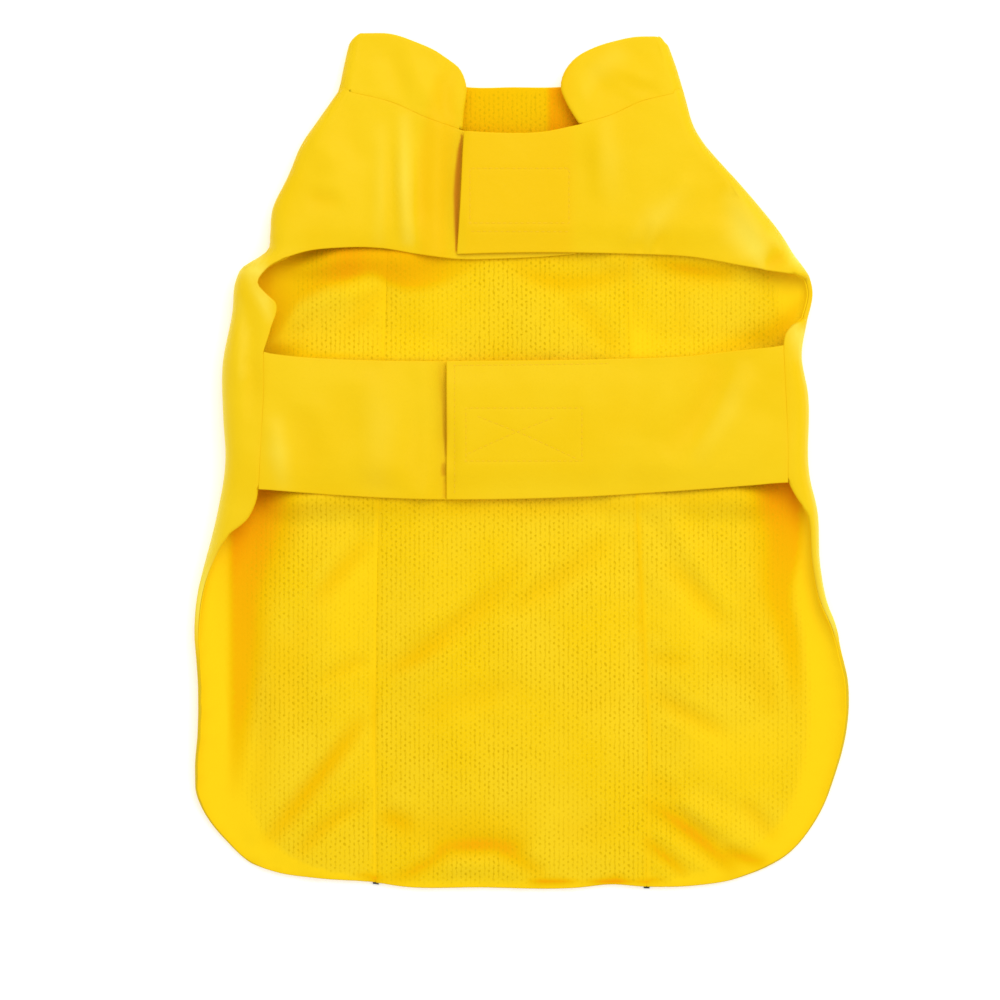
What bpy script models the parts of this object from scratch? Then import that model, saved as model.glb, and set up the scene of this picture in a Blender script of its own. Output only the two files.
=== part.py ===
"""A pet raincoat, laid flat on its back with the belly side up.

Every piece is cut flat, as cloth is, and then folded into place. In the flat cut, u runs across
the coat from the middle of the back (left is negative), v runs up from the hem to the collar, and
w is the depth into the cloth from the shell's outer face. The belly side is opened out about a
straight line on each side, FOLD_LINE from the middle, and the roll between it and the back fills
what is left between them. fold() carries (u, v, w) to the coat as it lies.

Tables and flat cuts are in millimetres, and the scene is in metres.
"""

import math

import bmesh
import bpy
import numpy as np
from mathutils.geometry import delaunay_2d_cdt

MM = 0.001
LEFT, RIGHT = -1, 1


def table(names, *rows):
    """The rows of a table as named columns."""
    return dict(zip(names.split(), np.array(rows, float).T))


# Cloth.
WALL = 1.2  # one layer of shell, lining or strap
TAPE = 1.0  # one layer of hook or loop tape
GAP = 0.3  # between neighbouring pieces
LINING_DEPTH = WALL + 0.7  # from the shell's outer face down to the lining, which lies loose
LINING_OVERLAP = 6  # how far the lining goes on past the shoulders' rolls
PIPING_WIDTH = 2.6
PIPING_END = 0.8  # how far the piping sticks out at the hem

FOLD_LINE = 156  # further out than any foot of the side folds

# The side folds: foot is how far from the middle the cloth leaves the table, and radius is the
# roll's. Below the belly strap the cloth's edge stops part way up the roll, as a raised rim.
LEFT_FOLD = table(
    "y foot radius",
    (-201, 100, 40),
    (-190, 124, 36),
    (-180, 132, 32),
    (-168, 138, 28),
    (-157, 140.2, 24),
    (-147, 139.6, 22),
    (-126, 136.9, 20),
    (-105, 138.2, 18),
    (-85, 141.6, 14),
    (-65, 143.9, 9),
    (-53, 142.3, 8),
    (-37, 138, 8),
    (-23, 134.2, 8.5),
    (0, 130.3, 9),
    (20, 131.3, 9),
    (45, 131.6, 9),
    (70, 127, 9),
    (85, 125.3, 9),
    (90, 123.4, 8.7),
    (99, 111.4, 8),
    (106, 110.3, 8),
    (118, 109.8, 7.5),
    (134, 102.7, 7),
    (149, 96.9, 6.5),
    (164, 86.9, 6),
    (174, 80.7, 5.5),
    (185, 78.8, 5),
    (196, 76.8, 4.5),
    (202, 75.6, 4.5),
)
RIGHT_FOLD = table(
    "y foot radius",
    (-201, 90, 40),
    (-186, 119, 34),
    (-171, 130.5, 28),
    (-147, 137.2, 22),
    (-126, 141.1, 20),
    (-105, 141.6, 18),
    (-86, 139.7, 12),
    (-64, 136, 7),
    (-50, 133.5, 7),
    (-22, 131.8, 7),
    (-9, 128.7, 7),
    (32, 127.6, 7),
    (50, 124.7, 7),
    (65, 127.1, 7),
    (79, 130.2, 7),
    (86, 128.5, 7),
    (98, 120.2, 7),
    (105, 116, 7),
    (121, 104, 6.5),
    (132, 94.7, 6.3),
    (147, 81.4, 6),
    (155, 76.3, 5.8),
    (171, 71.4, 5.5),
    (185, 67.7, 5),
    (197, 64, 4.5),
    (202, 62.5, 4.5),
)

# How high the belly side lies along the middle of the coat.
LEVEL = table("y height", (-60, 8.4), (-15, 8.2), (15, 8), (50, 8.2), (97, 8.6), (155, 8.8), (202, 9))

# The seams between the back's centre panel and its side panels, as distances from the middle.
SEAMS = table(
    "y left right",
    (-201, 68.7, 58.8),
    (-122, 68.9, 59.2),
    (-65, 68.2, 56.5),
    (-30, 67.5, 54.2),
    (50, 64.8, 51),
    (165, 61, 49),
)

# The closing tabs: the left one dips and goes under, and the right one rises over its end.
CLOSED_TABS = 3 * GAP + 2 * TAPE + WALL  # from the left tab's face up to the right tab's
TAB_DIP = 2.5
TAB_RISE = CLOSED_TABS - TAB_DIP
CHEST_FROM = 72  # y between the belly strap and the chest
TAB_FORM = {  # x at which the chest's and the belly's dip or rise starts and is complete, and its height
    LEFT: ((-41, -30.6), (-47, -36), -TAB_DIP),
    RIGHT: ((48, 26), (58, 35), TAB_RISE),
}
STRAP_END = {LEFT: 34, RIGHT: -35.4}
CHEST_TAPE = ((-24.5, 22.5), (111.5, 137.5))  # x from and to, y from and to
BELLY_TAPE = ((-26.5, 28.5), (0, 25))

# Edges as the coat lies, as (x, y), from the neck's front down to the raised rim. Each chest edge is
# the closing tab's top, its end, and the hem out to the leg.
CHEST_EDGES = {
    LEFT: (
        ((-27.5, 155.3), (-10, 153.2), (25.5, 153.2)),
        ((25.5, 153.2), (25.5, 95.8)),
        ((25.5, 95.8), (-31, 94.8), (-49, 97), (-65, 99.6), (-85, 99.9), (-101, 98.2), (-111.5, 95)),
    ),
    RIGHT: (
        ((26.8, 158), (10, 154.7), (-10, 154.2), (-27.4, 155.1)),
        ((-27.4, 155.1), (-29.4, 143), (-30.1, 112), (-30.4, 97)),
        ((-30.4, 97), (-10, 97.6), (53, 97), (80, 95.6), (104, 91.4), (121.5, 88.4)),
    ),
}
LEFT_LEG = (
    *((-111.5, 95), (-119.4, 90.4), (-123.8, 83.5), (-119.6, 78.2), (-115.2, 74), (-117.6, 62)),
    (-121.1, 51.1),
)
RIGHT_SHOULDER = ((121.5, 88.4), (127.9, 87.4))
RIGHT_LEG = ((126.8, 63.6), (123.6, 59.2), (122.9, 54.2))
STRAP_SEAM = {
    LEFT: ((-121.1, 51.1), (-121, 36), (-122.3, 10), (-123.5, -13.4)),
    RIGHT: ((122.9, 54.2), (124, 31), (124.9, 10), (125, -10.2)),
}
FLAP = {
    LEFT: ((-123.5, -13.4), (-124.4, -18.5), (-128.6, -27.5), (-137.2, -34.5)),
    RIGHT: ((125, -10.2), (128, -16), (131.6, -21)),
}
STRAP = table(
    "x bottom top",
    (-124, -13.4, 51.2),
    (-108, -14.7, 49.2),
    (-87, -16.3, 47.9),
    (-45, -18.2, 47),
    (-13, -18.2, 47.2),
    (43, -16.3, 48),
    (75, -14.2, 49.2),
    (96, -12.7, 51.3),
    (125.5, -10.1, 54.3),
)
# Edges round a roll, as (turn in degrees, y).
RIM = {
    LEFT: ((180, -35), (154, -41.5), (123, -52), (92, -64), (75, -75), (65, -85)),
    RIGHT: ((180, -21.6), (152, -29), (141, -42), (132, -62), (108, -72), (80, -79), (60, -86)),
}
RIGHT_LEG_ROLL = ((176, 87.3), (125, 86), (88, 82), (80, 76), (88, 70), (125, 66.6), (180, 63.9))
# The hem on the table, from the left rim to the right one.
HEM = (
    *((-154.3, -85), (-152.9, -105), (-152.9, -126), (-154.3, -147), (-153.6, -157), (-148.5, -168)),
    *((-138, -180.5), (-129, -188.5), (-117, -193.3), (-96, -196.6), (-68.7, -198.6), (-57, -200.4)),
    *((-20, -200.9), (28, -200.9), (41, -199.5), (58.8, -200.6), (83, -199.9), (104, -196.1)),
    *((125.2, -185.8), (138.5, -170), (148.4, -147), (153.6, -126), (154.3, -105), (150.1, -86)),
)
# The neck seam and the collar's top edge, from the left front round the back to the right front.
NECK = {
    "left front": ((-27.5, 155.3), (-44.8, 161.3), (-61.4, 168.5), (-76, 172.2)),
    "left roll": ((90, 173.4),),
    "left back": ((-76, 169.5), (-62, 161.5), (-40, 152.5), (-5, 146.5)),
    "right back": ((32, 151.5), (50, 158.5), (66.5, 169.2)),
    "right roll": ((90, 172.6),),
    "right front": ((70, 172.1), (57, 169.2), (42.2, 162.6), (26.8, 158)),
}
COLLAR_TOP = {
    "left front": (
        *((-27.5, 155.3), (-26.8, 164), (-25.9, 176.4), (-28.8, 184), (-36.2, 190.3)),
        *((-48.8, 196.6), (-62, 200.8), (-73, 200.9), (-78.6, 198.6)),
    ),
    "left roll": ((90, 196.8),),
    "left back": ((-73, 193.5), (-60, 186.5), (-44, 179.5), (-26, 175.9)),
    "right back": ((18, 175.9), (33, 177.4), (46, 182.5), (58, 191.5)),
    "right roll": ((90, 195.8),),
    "right front": (
        *((66.4, 198), (61, 199.5), (54, 199.3), (45, 197.6), (33.9, 194), (24.4, 188.6)),
        *((19.6, 182), (18.2, 175.4), (20.2, 169.5), (26.8, 158)),
    ),
}

# The lining's puff over the back, and its largest folds, as soft troughs (a ridge is negative).
PUFF = table(
    "y height",
    (-198, 0),
    (-186, 0.8),
    (-150, 2.2),
    (-60, 2.4),
    (-28, 1),
    (10, 0.4),
    (48, 0.8),
    (72, 1.8),
    (96, 0.8),
    (130, 0.2),
    (145, 0),
)
PUFF_EDGE = 24  # distance from a seam or a roll over which the puff grows
CREASES = table(
    "x_from y_from x_to y_to half_width depth",
    (-74, -122, -124, -181, 9, 2.2),
    (-75, -163, -107, -190, 7, 1.2),
    (34, -40, -58, -96, 12, 2),
    (4, -103, -51, -125, 9, 1),
    (-40, -181, -6, -181, 8, 2),
    (62, -166, 107, -190, 8, 1.8),
    (68, -22, 122, -100, 13, -1.4),
)

# The middle of the coat's box, in the tables' coordinates.
MIDDLE = (0.08, -0.22)

# Spacing of the meshes, and of the points along the pieces' edges.
STEP = 16
EDGE_STEP = 9
FINE_STEP = 6
SEAM_STEP = 18
ROLL_DEGREES = 30
ROWS = np.arange(-192, 200, STEP)
SHOULDER_ROWS = np.array([85, 87, 89, 91, 92.7, 94.3, 96, 98, 100, 102.5, 105])  # at the left leg's top
CORNER_GAP = 2  # the least from a corner to the next point of the edge
SHEAR = 0.02  # slants the rows while a cut is filled, so that cloth and lining are filled alike
NUDGE = 0.02  # for slopes

SHELL_YELLOW = (0.93, 0.61, 0.012)
LINING_YELLOW = (0.92, 0.58, 0.015)
TAPE_YELLOW = (0.86, 0.55, 0.02)
PIPING_GREY = (0.035, 0.035, 0.035)


# ---------------------------------------------------------------- curves and tables


def through(xs, ys, at):
    """A smooth curve through the points (xs, ys), read at the places in at."""
    run = np.diff(xs)
    rise = np.diff(ys) / run
    middle = (run[:-1] * rise[1:] + run[1:] * rise[:-1]) / (run[:-1] + run[1:])
    slope = np.concatenate([rise[:1], middle, rise[-1:]])
    k = np.clip(np.searchsorted(xs, at) - 1, 0, len(run) - 1)
    t = np.clip((at - xs[k]) / run[k], 0, 1)
    start = (1 + 2 * t) * (1 - t) ** 2 * ys[k] + t * (1 - t) ** 2 * run[k] * slope[k]
    end = (3 - 2 * t) * t**2 * ys[k + 1] - (1 - t) * t**2 * run[k] * slope[k + 1]
    return start + end


def read(rows, column, at):
    """A table's column, at these values of its first column."""
    return through(next(iter(rows.values())), rows[column], at)


def rounded(knots, step):
    """Points about a step apart along a smooth curve through the knots."""
    knots = np.array(knots, float)
    length = np.concatenate([[0], np.cumsum(np.linalg.norm(np.diff(knots, axis=0), axis=1))])
    at = np.linspace(0, length[-1], max(2, round(length[-1] / step) + 1))
    return np.stack([through(length, knots[:, 0], at), through(length, knots[:, 1], at)], axis=1)


def ease(t):
    """0 to 1, level at both ends."""
    t = np.clip(t, 0, 1)
    return t * t * (3 - 2 * t)


# ---------------------------------------------------------------- the coat's form


def fold_at(on_left, y):
    """The side fold's foot and radius at y, on the left or on the right."""
    columns = ("foot", "radius")
    return [np.where(on_left, read(LEFT_FOLD, name, y), read(RIGHT_FOLD, name, y)) for name in columns]


def belly_height(x, y):
    """The height of the belly side, from the tops of the rolls down to the level in the middle."""
    foot, radius = fold_at(x < 0, y)
    level = read(LEVEL, "height", y)
    return level + (2 * radius - level) * ease(np.abs(x) / foot)


def plain(x, y, turn):
    """The form of a piece that adds nothing to the coat's."""
    return np.zeros_like(x)


def tabs(side):
    """The form of the closing tabs: the left ones dip under the right ones, which rise over them."""
    chest, belly, height = TAB_FORM[side]

    def form(x, y, turn):
        (chest_start, chest_full), (belly_start, belly_full) = chest, belly
        start = np.where(y > CHEST_FROM, chest_start, belly_start)
        full = np.where(y > CHEST_FROM, chest_full, belly_full)
        return height * ease((x - start) / (full - start)) * (turn > math.pi / 2)

    return form


def puffed(x, y, turn):
    """The lining's form: raised between its seams, with creases, and flat up the rolls."""
    foot, _ = fold_at(x < 0, y)
    to_seam = np.minimum(abs(x + read(SEAMS, "left", y)), abs(x - read(SEAMS, "right", y)))
    height = read(PUFF, "height", y) * ease(to_seam / PUFF_EDGE) * ease((foot - abs(x)) / PUFF_EDGE)
    for x0, y0, x1, y1, half_width, depth in zip(*CREASES.values()):
        dx, dy = x1 - x0, y1 - y0
        t = np.clip(((x - x0) * dx + (y - y0) * dy) / (dx * dx + dy * dy), 0, 1)
        away = np.hypot(x - x0 - t * dx, y - y0 - t * dy)
        height = height - depth * np.sqrt(4 * t * (1 - t)) * np.exp(-((away / half_width) ** 2))
    return np.maximum(height, 0) * (turn <= 0)


def place(u, v, form):
    """Where the shell's outer face lies at (u, v) of the flat cut."""
    foot, radius = fold_at(u < 0, v)
    out = np.abs(u)
    turn = np.clip((out - foot) / (FOLD_LINE - foot), 0, 2) * math.pi / 2
    x = np.minimum(np.minimum(out, foot), 2 * FOLD_LINE - out) + radius * np.sin(turn)
    x = np.where(u < 0, LEFT, RIGHT) * x
    z = np.where(turn < math.pi, radius * (1 - np.cos(turn)), belly_height(x, v))
    return np.stack([x, v, z + form(x, v, turn)], axis=-1)


def fold(u, v, w, form):
    """Where the flat cut's (u, v, w) lies, w deep in the cloth."""
    across = place(u + NUDGE, v, form) - place(u - NUDGE, v, form)
    along = place(u, v + NUDGE, form) - place(u, v - NUDGE, form)
    inward = np.cross(across, along)
    inward /= np.linalg.norm(inward, axis=-1, keepdims=True)
    return place(u, v, form) + w[:, None] * inward


# ---------------------------------------------------------------- flat cuts


def turned(side, places):
    """The flat cut's (u, v) of points (turn in degrees, y) on a side's roll."""
    degrees, y = np.array(places, float).T
    foot, _ = fold_at(side < 0, y)
    return np.stack([side * (foot + (FOLD_LINE - foot) * degrees / 90), y], axis=1)


def under(side, seen):
    """The flat cut's (u, v) of points (x, y) on the back, or on the lower half of a roll."""
    x, y = np.array(seen, float).T
    foot, radius = fold_at(side < 0, y)
    turn = np.arcsin(np.clip((side * x - foot) / radius, 0, 1))
    u = np.minimum(side * x, foot) + (FOLD_LINE - foot) * turn * 2 / math.pi
    return np.stack([side * u, y], axis=1)


def over(side, seen):
    """The same on the belly side, or on the upper half of a roll."""
    u, v = under(side, seen).T
    return np.stack([side * 2 * FOLD_LINE - u, v], axis=1)


def round_neck(edge, step):
    """The flat cut of an edge of the collar, from the left front round the back to the right front."""
    line = []
    for name, points in edge.items():
        side, part = name.split()
        cut = {"front": over, "roll": turned, "back": under}[part]
        line.append(cut({"left": LEFT, "right": RIGHT}[side], points))
    return rounded(np.concatenate(line), step)


def hem():
    """The hem in the flat cut, from the left rim to the right one."""
    points = rounded(HEM, EDGE_STEP)
    left = points[:, 0] < 0
    return np.concatenate([under(LEFT, points[left]), under(RIGHT, points[~left])])


def neck():
    """The neck seam in the flat cut."""
    return round_neck(NECK, EDGE_STEP)


def seam(side, offset):
    """A back seam in the flat cut, from the hem up to the neck, moved outwards by offset."""
    column = "left" if side == LEFT else "right"
    ends = []
    for line, y in ((hem(), -200), (neck(), 157)):
        line = line[abs(line[:, 0]) < 110]
        ends.append(np.interp(side * (read(SEAMS, column, y) + offset), *line.T))
    v = np.linspace(*ends, round((ends[1] - ends[0]) / SEAM_STEP))
    return np.stack([side * (read(SEAMS, column, v) + offset), v], axis=1)


def outside(line, side, corner):
    """The part of a line that lies further out on a side than a corner on it."""
    return line[side * (line[:, 0] - corner[0]) > CORNER_GAP]


def inset(outline, distance):
    """A closed outline, moved inwards."""
    before, after = outline - np.roll(outline, 1, 0), np.roll(outline, -1, 0) - outline
    area = np.sum(outline[:, 0] * np.roll(outline[:, 1], -1) - outline[:, 1] * np.roll(outline[:, 0], -1))
    normals = []
    for d in (before, after):
        d = d / np.linalg.norm(d, axis=1, keepdims=True)
        normals.append(np.stack([-d[:, 1], d[:, 0]], axis=1) * np.sign(area))
    spread = np.maximum(1 + np.sum(normals[0] * normals[1], axis=1), 0.5)
    return outline + distance * (normals[0] + normals[1]) / spread[:, None]


def closed(*lines):
    """One closed outline from lines that follow each other, a seam's gap inside them."""
    points = np.concatenate(lines)
    apart = np.linalg.norm(points - np.roll(points, 1, 0), axis=1)
    return inset(points[apart > 0.5], GAP / 2)


def inside(points, outline):
    """Whether each point lies inside the outline."""
    x, y = points[:, :1], points[:, 1:]
    (ax, ay), (bx, by) = outline.T, np.roll(outline, -1, 0).T
    crosses = (ay > y) != (by > y)
    with np.errstate(divide="ignore", invalid="ignore"):
        where = ax + (y - ay) * (bx - ax) / (by - ay)
    return np.sum(crosses & (x < where), axis=1) % 2 == 1


def stations(outline, back_is_flat):
    """Points inside a flat cut, in rows across the coat, closer together round the rolls."""
    made = []
    rows = [(side, v) for side in (LEFT, RIGHT) for v in ROWS] + [(LEFT, v) for v in SHOULDER_ROWS]
    for side, v in rows:
        foot, _ = fold_at(side < 0, v)
        roll = foot + (FOLD_LINE - foot) * np.arange(0, 181, ROLL_DEGREES) / 90
        u = [roll, [foot - LINING_OVERLAP, 2 * FOLD_LINE - foot + LINING_OVERLAP]]
        if v in ROWS:
            tab = np.linspace(*TAB_FORM[side][int(v < CHEST_FROM)], 4)
            u += [2 * FOLD_LINE - np.arange(-140, foot - STEP, STEP), 2 * FOLD_LINE - side * tab]
            u += [] if back_is_flat else [np.arange(STEP / 2, foot - STEP, STEP)]
        u = np.concatenate(u)
        made.append(np.stack([side * u, np.full(len(u), v)], axis=1))
    made = np.concatenate(made)
    made = made[inside(made, outline)]
    away = np.linalg.norm(made[:, None] - outline[None], axis=2).min(axis=1)
    return made[away > EDGE_STEP / 3]


# ---------------------------------------------------------------- pieces


def material(name, colour, roughness):
    made = bpy.data.materials.new(name)
    made.use_nodes = True
    shader = made.node_tree.nodes["Principled BSDF"]
    shader.inputs["Base Color"].default_value = (*colour, 1)
    shader.inputs["Roughness"].default_value = roughness
    made.diffuse_color = (*colour, 1)
    return made


def piece(name, cut, colour, roughness, depth=0, wall=WALL, form=plain, back_is_flat=False):
    """A piece of cloth: a flat cut filled, given its wall, and folded into place."""
    points = np.concatenate([cut, stations(cut, back_is_flat)])
    points[:, 1] += SHEAR * points[:, 0]
    points, _, faces, *_ = delaunay_2d_cdt(points.tolist(), [], [list(range(len(cut)))], 1, 1e-4)
    cloth = bmesh.new()
    corners = [cloth.verts.new((u, v - SHEAR * u, depth)) for u, v in points]
    for face in faces:
        cloth.faces.new([corners[k] for k in face])
    thick = bmesh.ops.extrude_face_region(cloth, geom=cloth.faces[:], use_keep_orig=True)
    for part in thick["geom"]:
        if isinstance(part, bmesh.types.BMVert):
            part.co.z += wall
    u, v, w = np.array([corner.co for corner in cloth.verts]).T
    for corner, spot in zip(cloth.verts, (fold(u, v, w, form) - (*MIDDLE, 0)) * MM):
        corner.co = spot
    bmesh.ops.recalc_face_normals(cloth, faces=cloth.faces[:])
    mesh = bpy.data.meshes.new(name)
    cloth.to_mesh(mesh)
    cloth.free()
    mesh.materials.append(material(name, colour, roughness))
    mesh.shade_smooth()
    mesh.set_sharp_from_angle(angle=math.radians(50))
    bpy.data.collections["pet_raincoat"].objects.link(bpy.data.objects.new(name, mesh))


def back_cut(lined):
    """The flat cut of the back's centre panel, or of its lining."""
    offset = 0 if lined else -(PIPING_WIDTH + GAP) / 2
    left, right = seam(LEFT, offset), seam(RIGHT, offset)
    bottom = outside(outside(hem(), RIGHT, left[0]), LEFT, right[0])
    top = outside(outside(neck(), RIGHT, left[-1]), LEFT, right[-1])
    return closed(left, top, right[::-1], bottom[::-1])


def side_cut(side, lined):
    """The flat cut of a side panel, or of its lining, which stops soon after the shoulder's roll."""
    edge = seam(side, 0 if lined else (PIPING_WIDTH + GAP) / 2)
    bottom = outside(hem(), side, edge[0])[::-side]
    top = outside(neck(), side, edge[-1])[::side]
    if lined:
        foot, _ = fold_at(side < 0, top[:, 1])
        top = top[side * top[:, 0] < 2 * FOLD_LINE - foot + LINING_OVERLAP]
        v = np.sort(np.append(ROWS, SHOULDER_ROWS))
        v = v[(v > CHEST_EDGES[side][-1][-1][1]) & (v < top[-1, 1])][::-1]
        foot, _ = fold_at(side < 0, v)
        chest = [np.stack([side * (2 * FOLD_LINE - foot + LINING_OVERLAP), v], axis=1)]
    else:
        chest = [over(side, rounded(line, EDGE_STEP)) for line in CHEST_EDGES[side]]
    if side == LEFT:
        leg = [over(side, rounded(LEFT_LEG, FINE_STEP))]
    else:
        leg = [
            over(side, rounded(RIGHT_SHOULDER, EDGE_STEP)),
            turned(side, rounded(RIGHT_LEG_ROLL, FINE_STEP)),
            over(side, rounded(RIGHT_LEG, FINE_STEP)),
        ]
    strap = [over(side, rounded(line[side], EDGE_STEP)) for line in (STRAP_SEAM, FLAP)]
    rim = turned(side, rounded(RIM[side], EDGE_STEP))
    return closed(*chest, *leg, *strap, rim, bottom, edge, top)


def collar_cut():
    """The flat cut of the collar, which its lining shares."""
    return closed(round_neck(COLLAR_TOP, FINE_STEP), neck()[::-1])


def strap_cut(side):
    """The flat cut of one half of the belly strap, from its seam to its end."""
    start = STRAP_SEAM[side]
    x = np.linspace(side * 118, STRAP_END[side], 12)
    top = np.stack([x, read(STRAP, "top", x)], axis=1)
    bottom = np.stack([x, read(STRAP, "bottom", x)], axis=1)
    return closed(over(side, rounded(start[::-1], EDGE_STEP)), over(side, top), over(side, bottom[::-1]))


def tape_cut(side, box):
    """The flat cut of a piece of hook or loop tape on a side's closing tab."""
    (left, right), (low, high) = box
    x, y = np.linspace(left, right, 5), np.linspace(low, high, 3)
    bottom, top = ([(k, edge) for k in x] for edge in (low, high))
    start, end = ([(edge, k) for k in y] for edge in (left, right))
    return closed(*(over(side, edge) for edge in (bottom, end, top[::-1], start[::-1])))


def piping_cut(side):
    """The flat cut of the piping in a back seam, which sticks out at the hem."""
    outer, inner = (seam(side, sign * (PIPING_WIDTH + GAP) / 2) for sign in (1, -1))
    for edge in (outer, inner):
        edge[0, 1] -= PIPING_END
    return closed(outer, inner[::-1])


def both_tabs(x, y, turn):
    """The collar's form: its fronts follow the closing tabs that they are sewn to."""
    return np.where(x < 0, tabs(LEFT)(x, y, turn), tabs(RIGHT)(x, y, turn))


def main():
    for old in list(bpy.data.objects):
        bpy.data.objects.remove(old)
    coat = bpy.data.collections.new("pet_raincoat")
    bpy.context.scene.collection.children.link(coat)

    shell = {"colour": SHELL_YELLOW, "roughness": 0.5}
    mesh = {"colour": LINING_YELLOW, "roughness": 0.8, "depth": LINING_DEPTH}
    piece("back_centre", back_cut(lined=False), **shell, back_is_flat=True)
    piece("lining_centre", back_cut(lined=True), **mesh, form=puffed)
    piece("collar_outer", collar_cut(), **shell, form=both_tabs)
    piece("collar_lining", collar_cut(), **mesh, form=both_tabs)
    for side, word in ((LEFT, "left"), (RIGHT, "right")):
        piece(f"side_{word}", side_cut(side, lined=False), **shell, form=tabs(side), back_is_flat=True)
        piece(f"lining_{word}", side_cut(side, lined=True), **mesh, form=puffed)
        piece(f"belly_strap_{word}", strap_cut(side), **shell, form=tabs(side))
        piece(f"piping_{word}", piping_cut(side), colour=PIPING_GREY, roughness=0.4)
    for word, box in (("chest", CHEST_TAPE), ("belly", BELLY_TAPE)):
        for name, side, depth in (("loop", LEFT, -GAP - TAPE), ("hook", RIGHT, WALL + GAP)):
            piece(f"{word}_{name}", tape_cut(side, box), TAPE_YELLOW, 0.9, depth, TAPE, tabs(side))


main()
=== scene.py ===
# %% [markdown]
# # A pet raincoat, laid flat on its back
#
# The real coat is cut from a thin coated cloth, lined with a sports mesh, and closed under the neck and
# the belly by two tabs with hook-and-loop tape. It lies here with the belly side up, as on a packing
# table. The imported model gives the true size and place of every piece, as plain walls of cloth. Here each
# wall is sewn again as a fine shell, with soft creases, rolled hems, stitches and real finishes.

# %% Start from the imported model
import math

import bpy
import numpy as np
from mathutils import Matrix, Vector
from mathutils.geometry import delaunay_2d_cdt
from mathutils.kdtree import KDTree


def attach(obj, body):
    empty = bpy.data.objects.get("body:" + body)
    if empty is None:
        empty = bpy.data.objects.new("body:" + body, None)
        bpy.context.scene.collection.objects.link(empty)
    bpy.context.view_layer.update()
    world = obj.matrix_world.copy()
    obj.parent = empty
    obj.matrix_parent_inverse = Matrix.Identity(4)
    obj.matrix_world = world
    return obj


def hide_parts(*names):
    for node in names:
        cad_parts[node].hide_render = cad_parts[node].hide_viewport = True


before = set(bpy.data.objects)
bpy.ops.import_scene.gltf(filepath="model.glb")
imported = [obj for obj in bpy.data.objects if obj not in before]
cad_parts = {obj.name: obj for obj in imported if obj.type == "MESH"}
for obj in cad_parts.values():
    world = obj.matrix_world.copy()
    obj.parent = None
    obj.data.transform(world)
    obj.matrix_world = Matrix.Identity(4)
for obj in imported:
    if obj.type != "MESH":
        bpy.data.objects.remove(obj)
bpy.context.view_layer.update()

# %% [markdown]
# ## The camera
#
# A flat garment is shown from straight above. A short lens would lean the raised folds outwards, so the
# camera stands far off with a long lens, and the coat keeps its true outline.

# %% The camera
MM = 0.001
FIELD = 470  # mm of table across the picture
AIM = (-10.28, -18.23, 8)  # mm, a little below and left of the coat's middle
DISTANCE = 4000


def set_out(name, data):
    """A new object in the scene."""
    made = bpy.data.objects.new(name, data)
    bpy.context.scene.collection.objects.link(made)
    return made


camera = set_out("camera", bpy.data.cameras.new("camera"))
camera.data.sensor_width = 36
camera.data.lens = camera.data.sensor_width * DISTANCE / FIELD
camera.data.clip_end = 30
camera.location = (AIM[0] * MM, AIM[1] * MM, (AIM[2] + DISTANCE) * MM)
bpy.context.scene.camera = camera
print("lens:", round(camera.data.lens), "mm")

# %% [markdown]
# ## The studio
#
# Yellow cloth is hard to light, because the light in its shadows has bounced off more yellow cloth. A
# bright white dome gives the soft light of a catalogue, and one softened lamp from the right, low enough
# to rake over the folds, draws the creases. The plain colour view keeps the yellow strong.

# %% Table, dome and lamp
DOME = 0.79
TABLE_GLOW = 0.30
LAMP_AZIMUTH, LAMP_ELEVATION = 62, 56  # degrees, from the coat's right towards its collar
LAMP_DISTANCE, LAMP_SIZE, LAMP_POWER = 1.8, 1.3, 12.2


def new_material(name, roughness, specular=0.5):
    """A material, its node tree and the sockets of its shader."""
    made = bpy.data.materials.new(name)
    made.use_nodes = True
    sockets = made.node_tree.nodes["Principled BSDF"].inputs
    sockets["Roughness"].default_value = roughness
    sockets["Specular IOR Level"].default_value = specular
    return made, made.node_tree, sockets


bpy.context.scene.view_settings.view_transform = "Standard"
bpy.context.scene.world = world = bpy.data.worlds.new("studio")
world.use_nodes = True
world.node_tree.nodes["Background"].inputs["Color"].default_value = (1, 1, 1, 1)
world.node_tree.nodes["Background"].inputs["Strength"].default_value = DOME

lamp = set_out("lamp", bpy.data.lights.new("lamp", "AREA"))
lamp.data.shape = "DISK"
lamp.data.size = LAMP_SIZE
lamp.data.energy = LAMP_POWER
turn, rise = math.radians(LAMP_AZIMUTH), math.radians(LAMP_ELEVATION)
towards = Vector((math.cos(turn) * math.cos(rise), math.sin(turn) * math.cos(rise), math.sin(rise)))
lamp.location = towards * LAMP_DISTANCE
lamp.rotation_euler = towards.to_track_quat("Z", "Y").to_euler()

REACH, BELOW = 6, -0.0002
table_mesh = bpy.data.meshes.new("table_top")
corners = [(x, y, BELOW) for x, y in ((-REACH, -REACH), (REACH, -REACH), (REACH, REACH), (-REACH, REACH))]
table_mesh.from_pydata(corners, [], [(0, 1, 2, 3)])
table_top = set_out("table_top", table_mesh)
paper, _, sockets = new_material("white_paper", 0.9)
sockets["Base Color"].default_value = (0.9, 0.9, 0.895, 1)
sockets["Emission Color"].default_value = (1, 1, 1, 1)
sockets["Emission Strength"].default_value = TABLE_GLOW
table_mesh.materials.append(paper)

# %% [markdown]
# ## The coat's sizes
#
# A maker keeps the pattern as a few tables, and so does this script, in millimetres. Cloth is thought of
# as cut flat and then folded: u runs across the coat from the middle of the back, v runs up from the hem
# to the collar, and w is the depth into the cloth. A smooth curve through a few rows of a table replaces
# hundreds of points.

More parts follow.
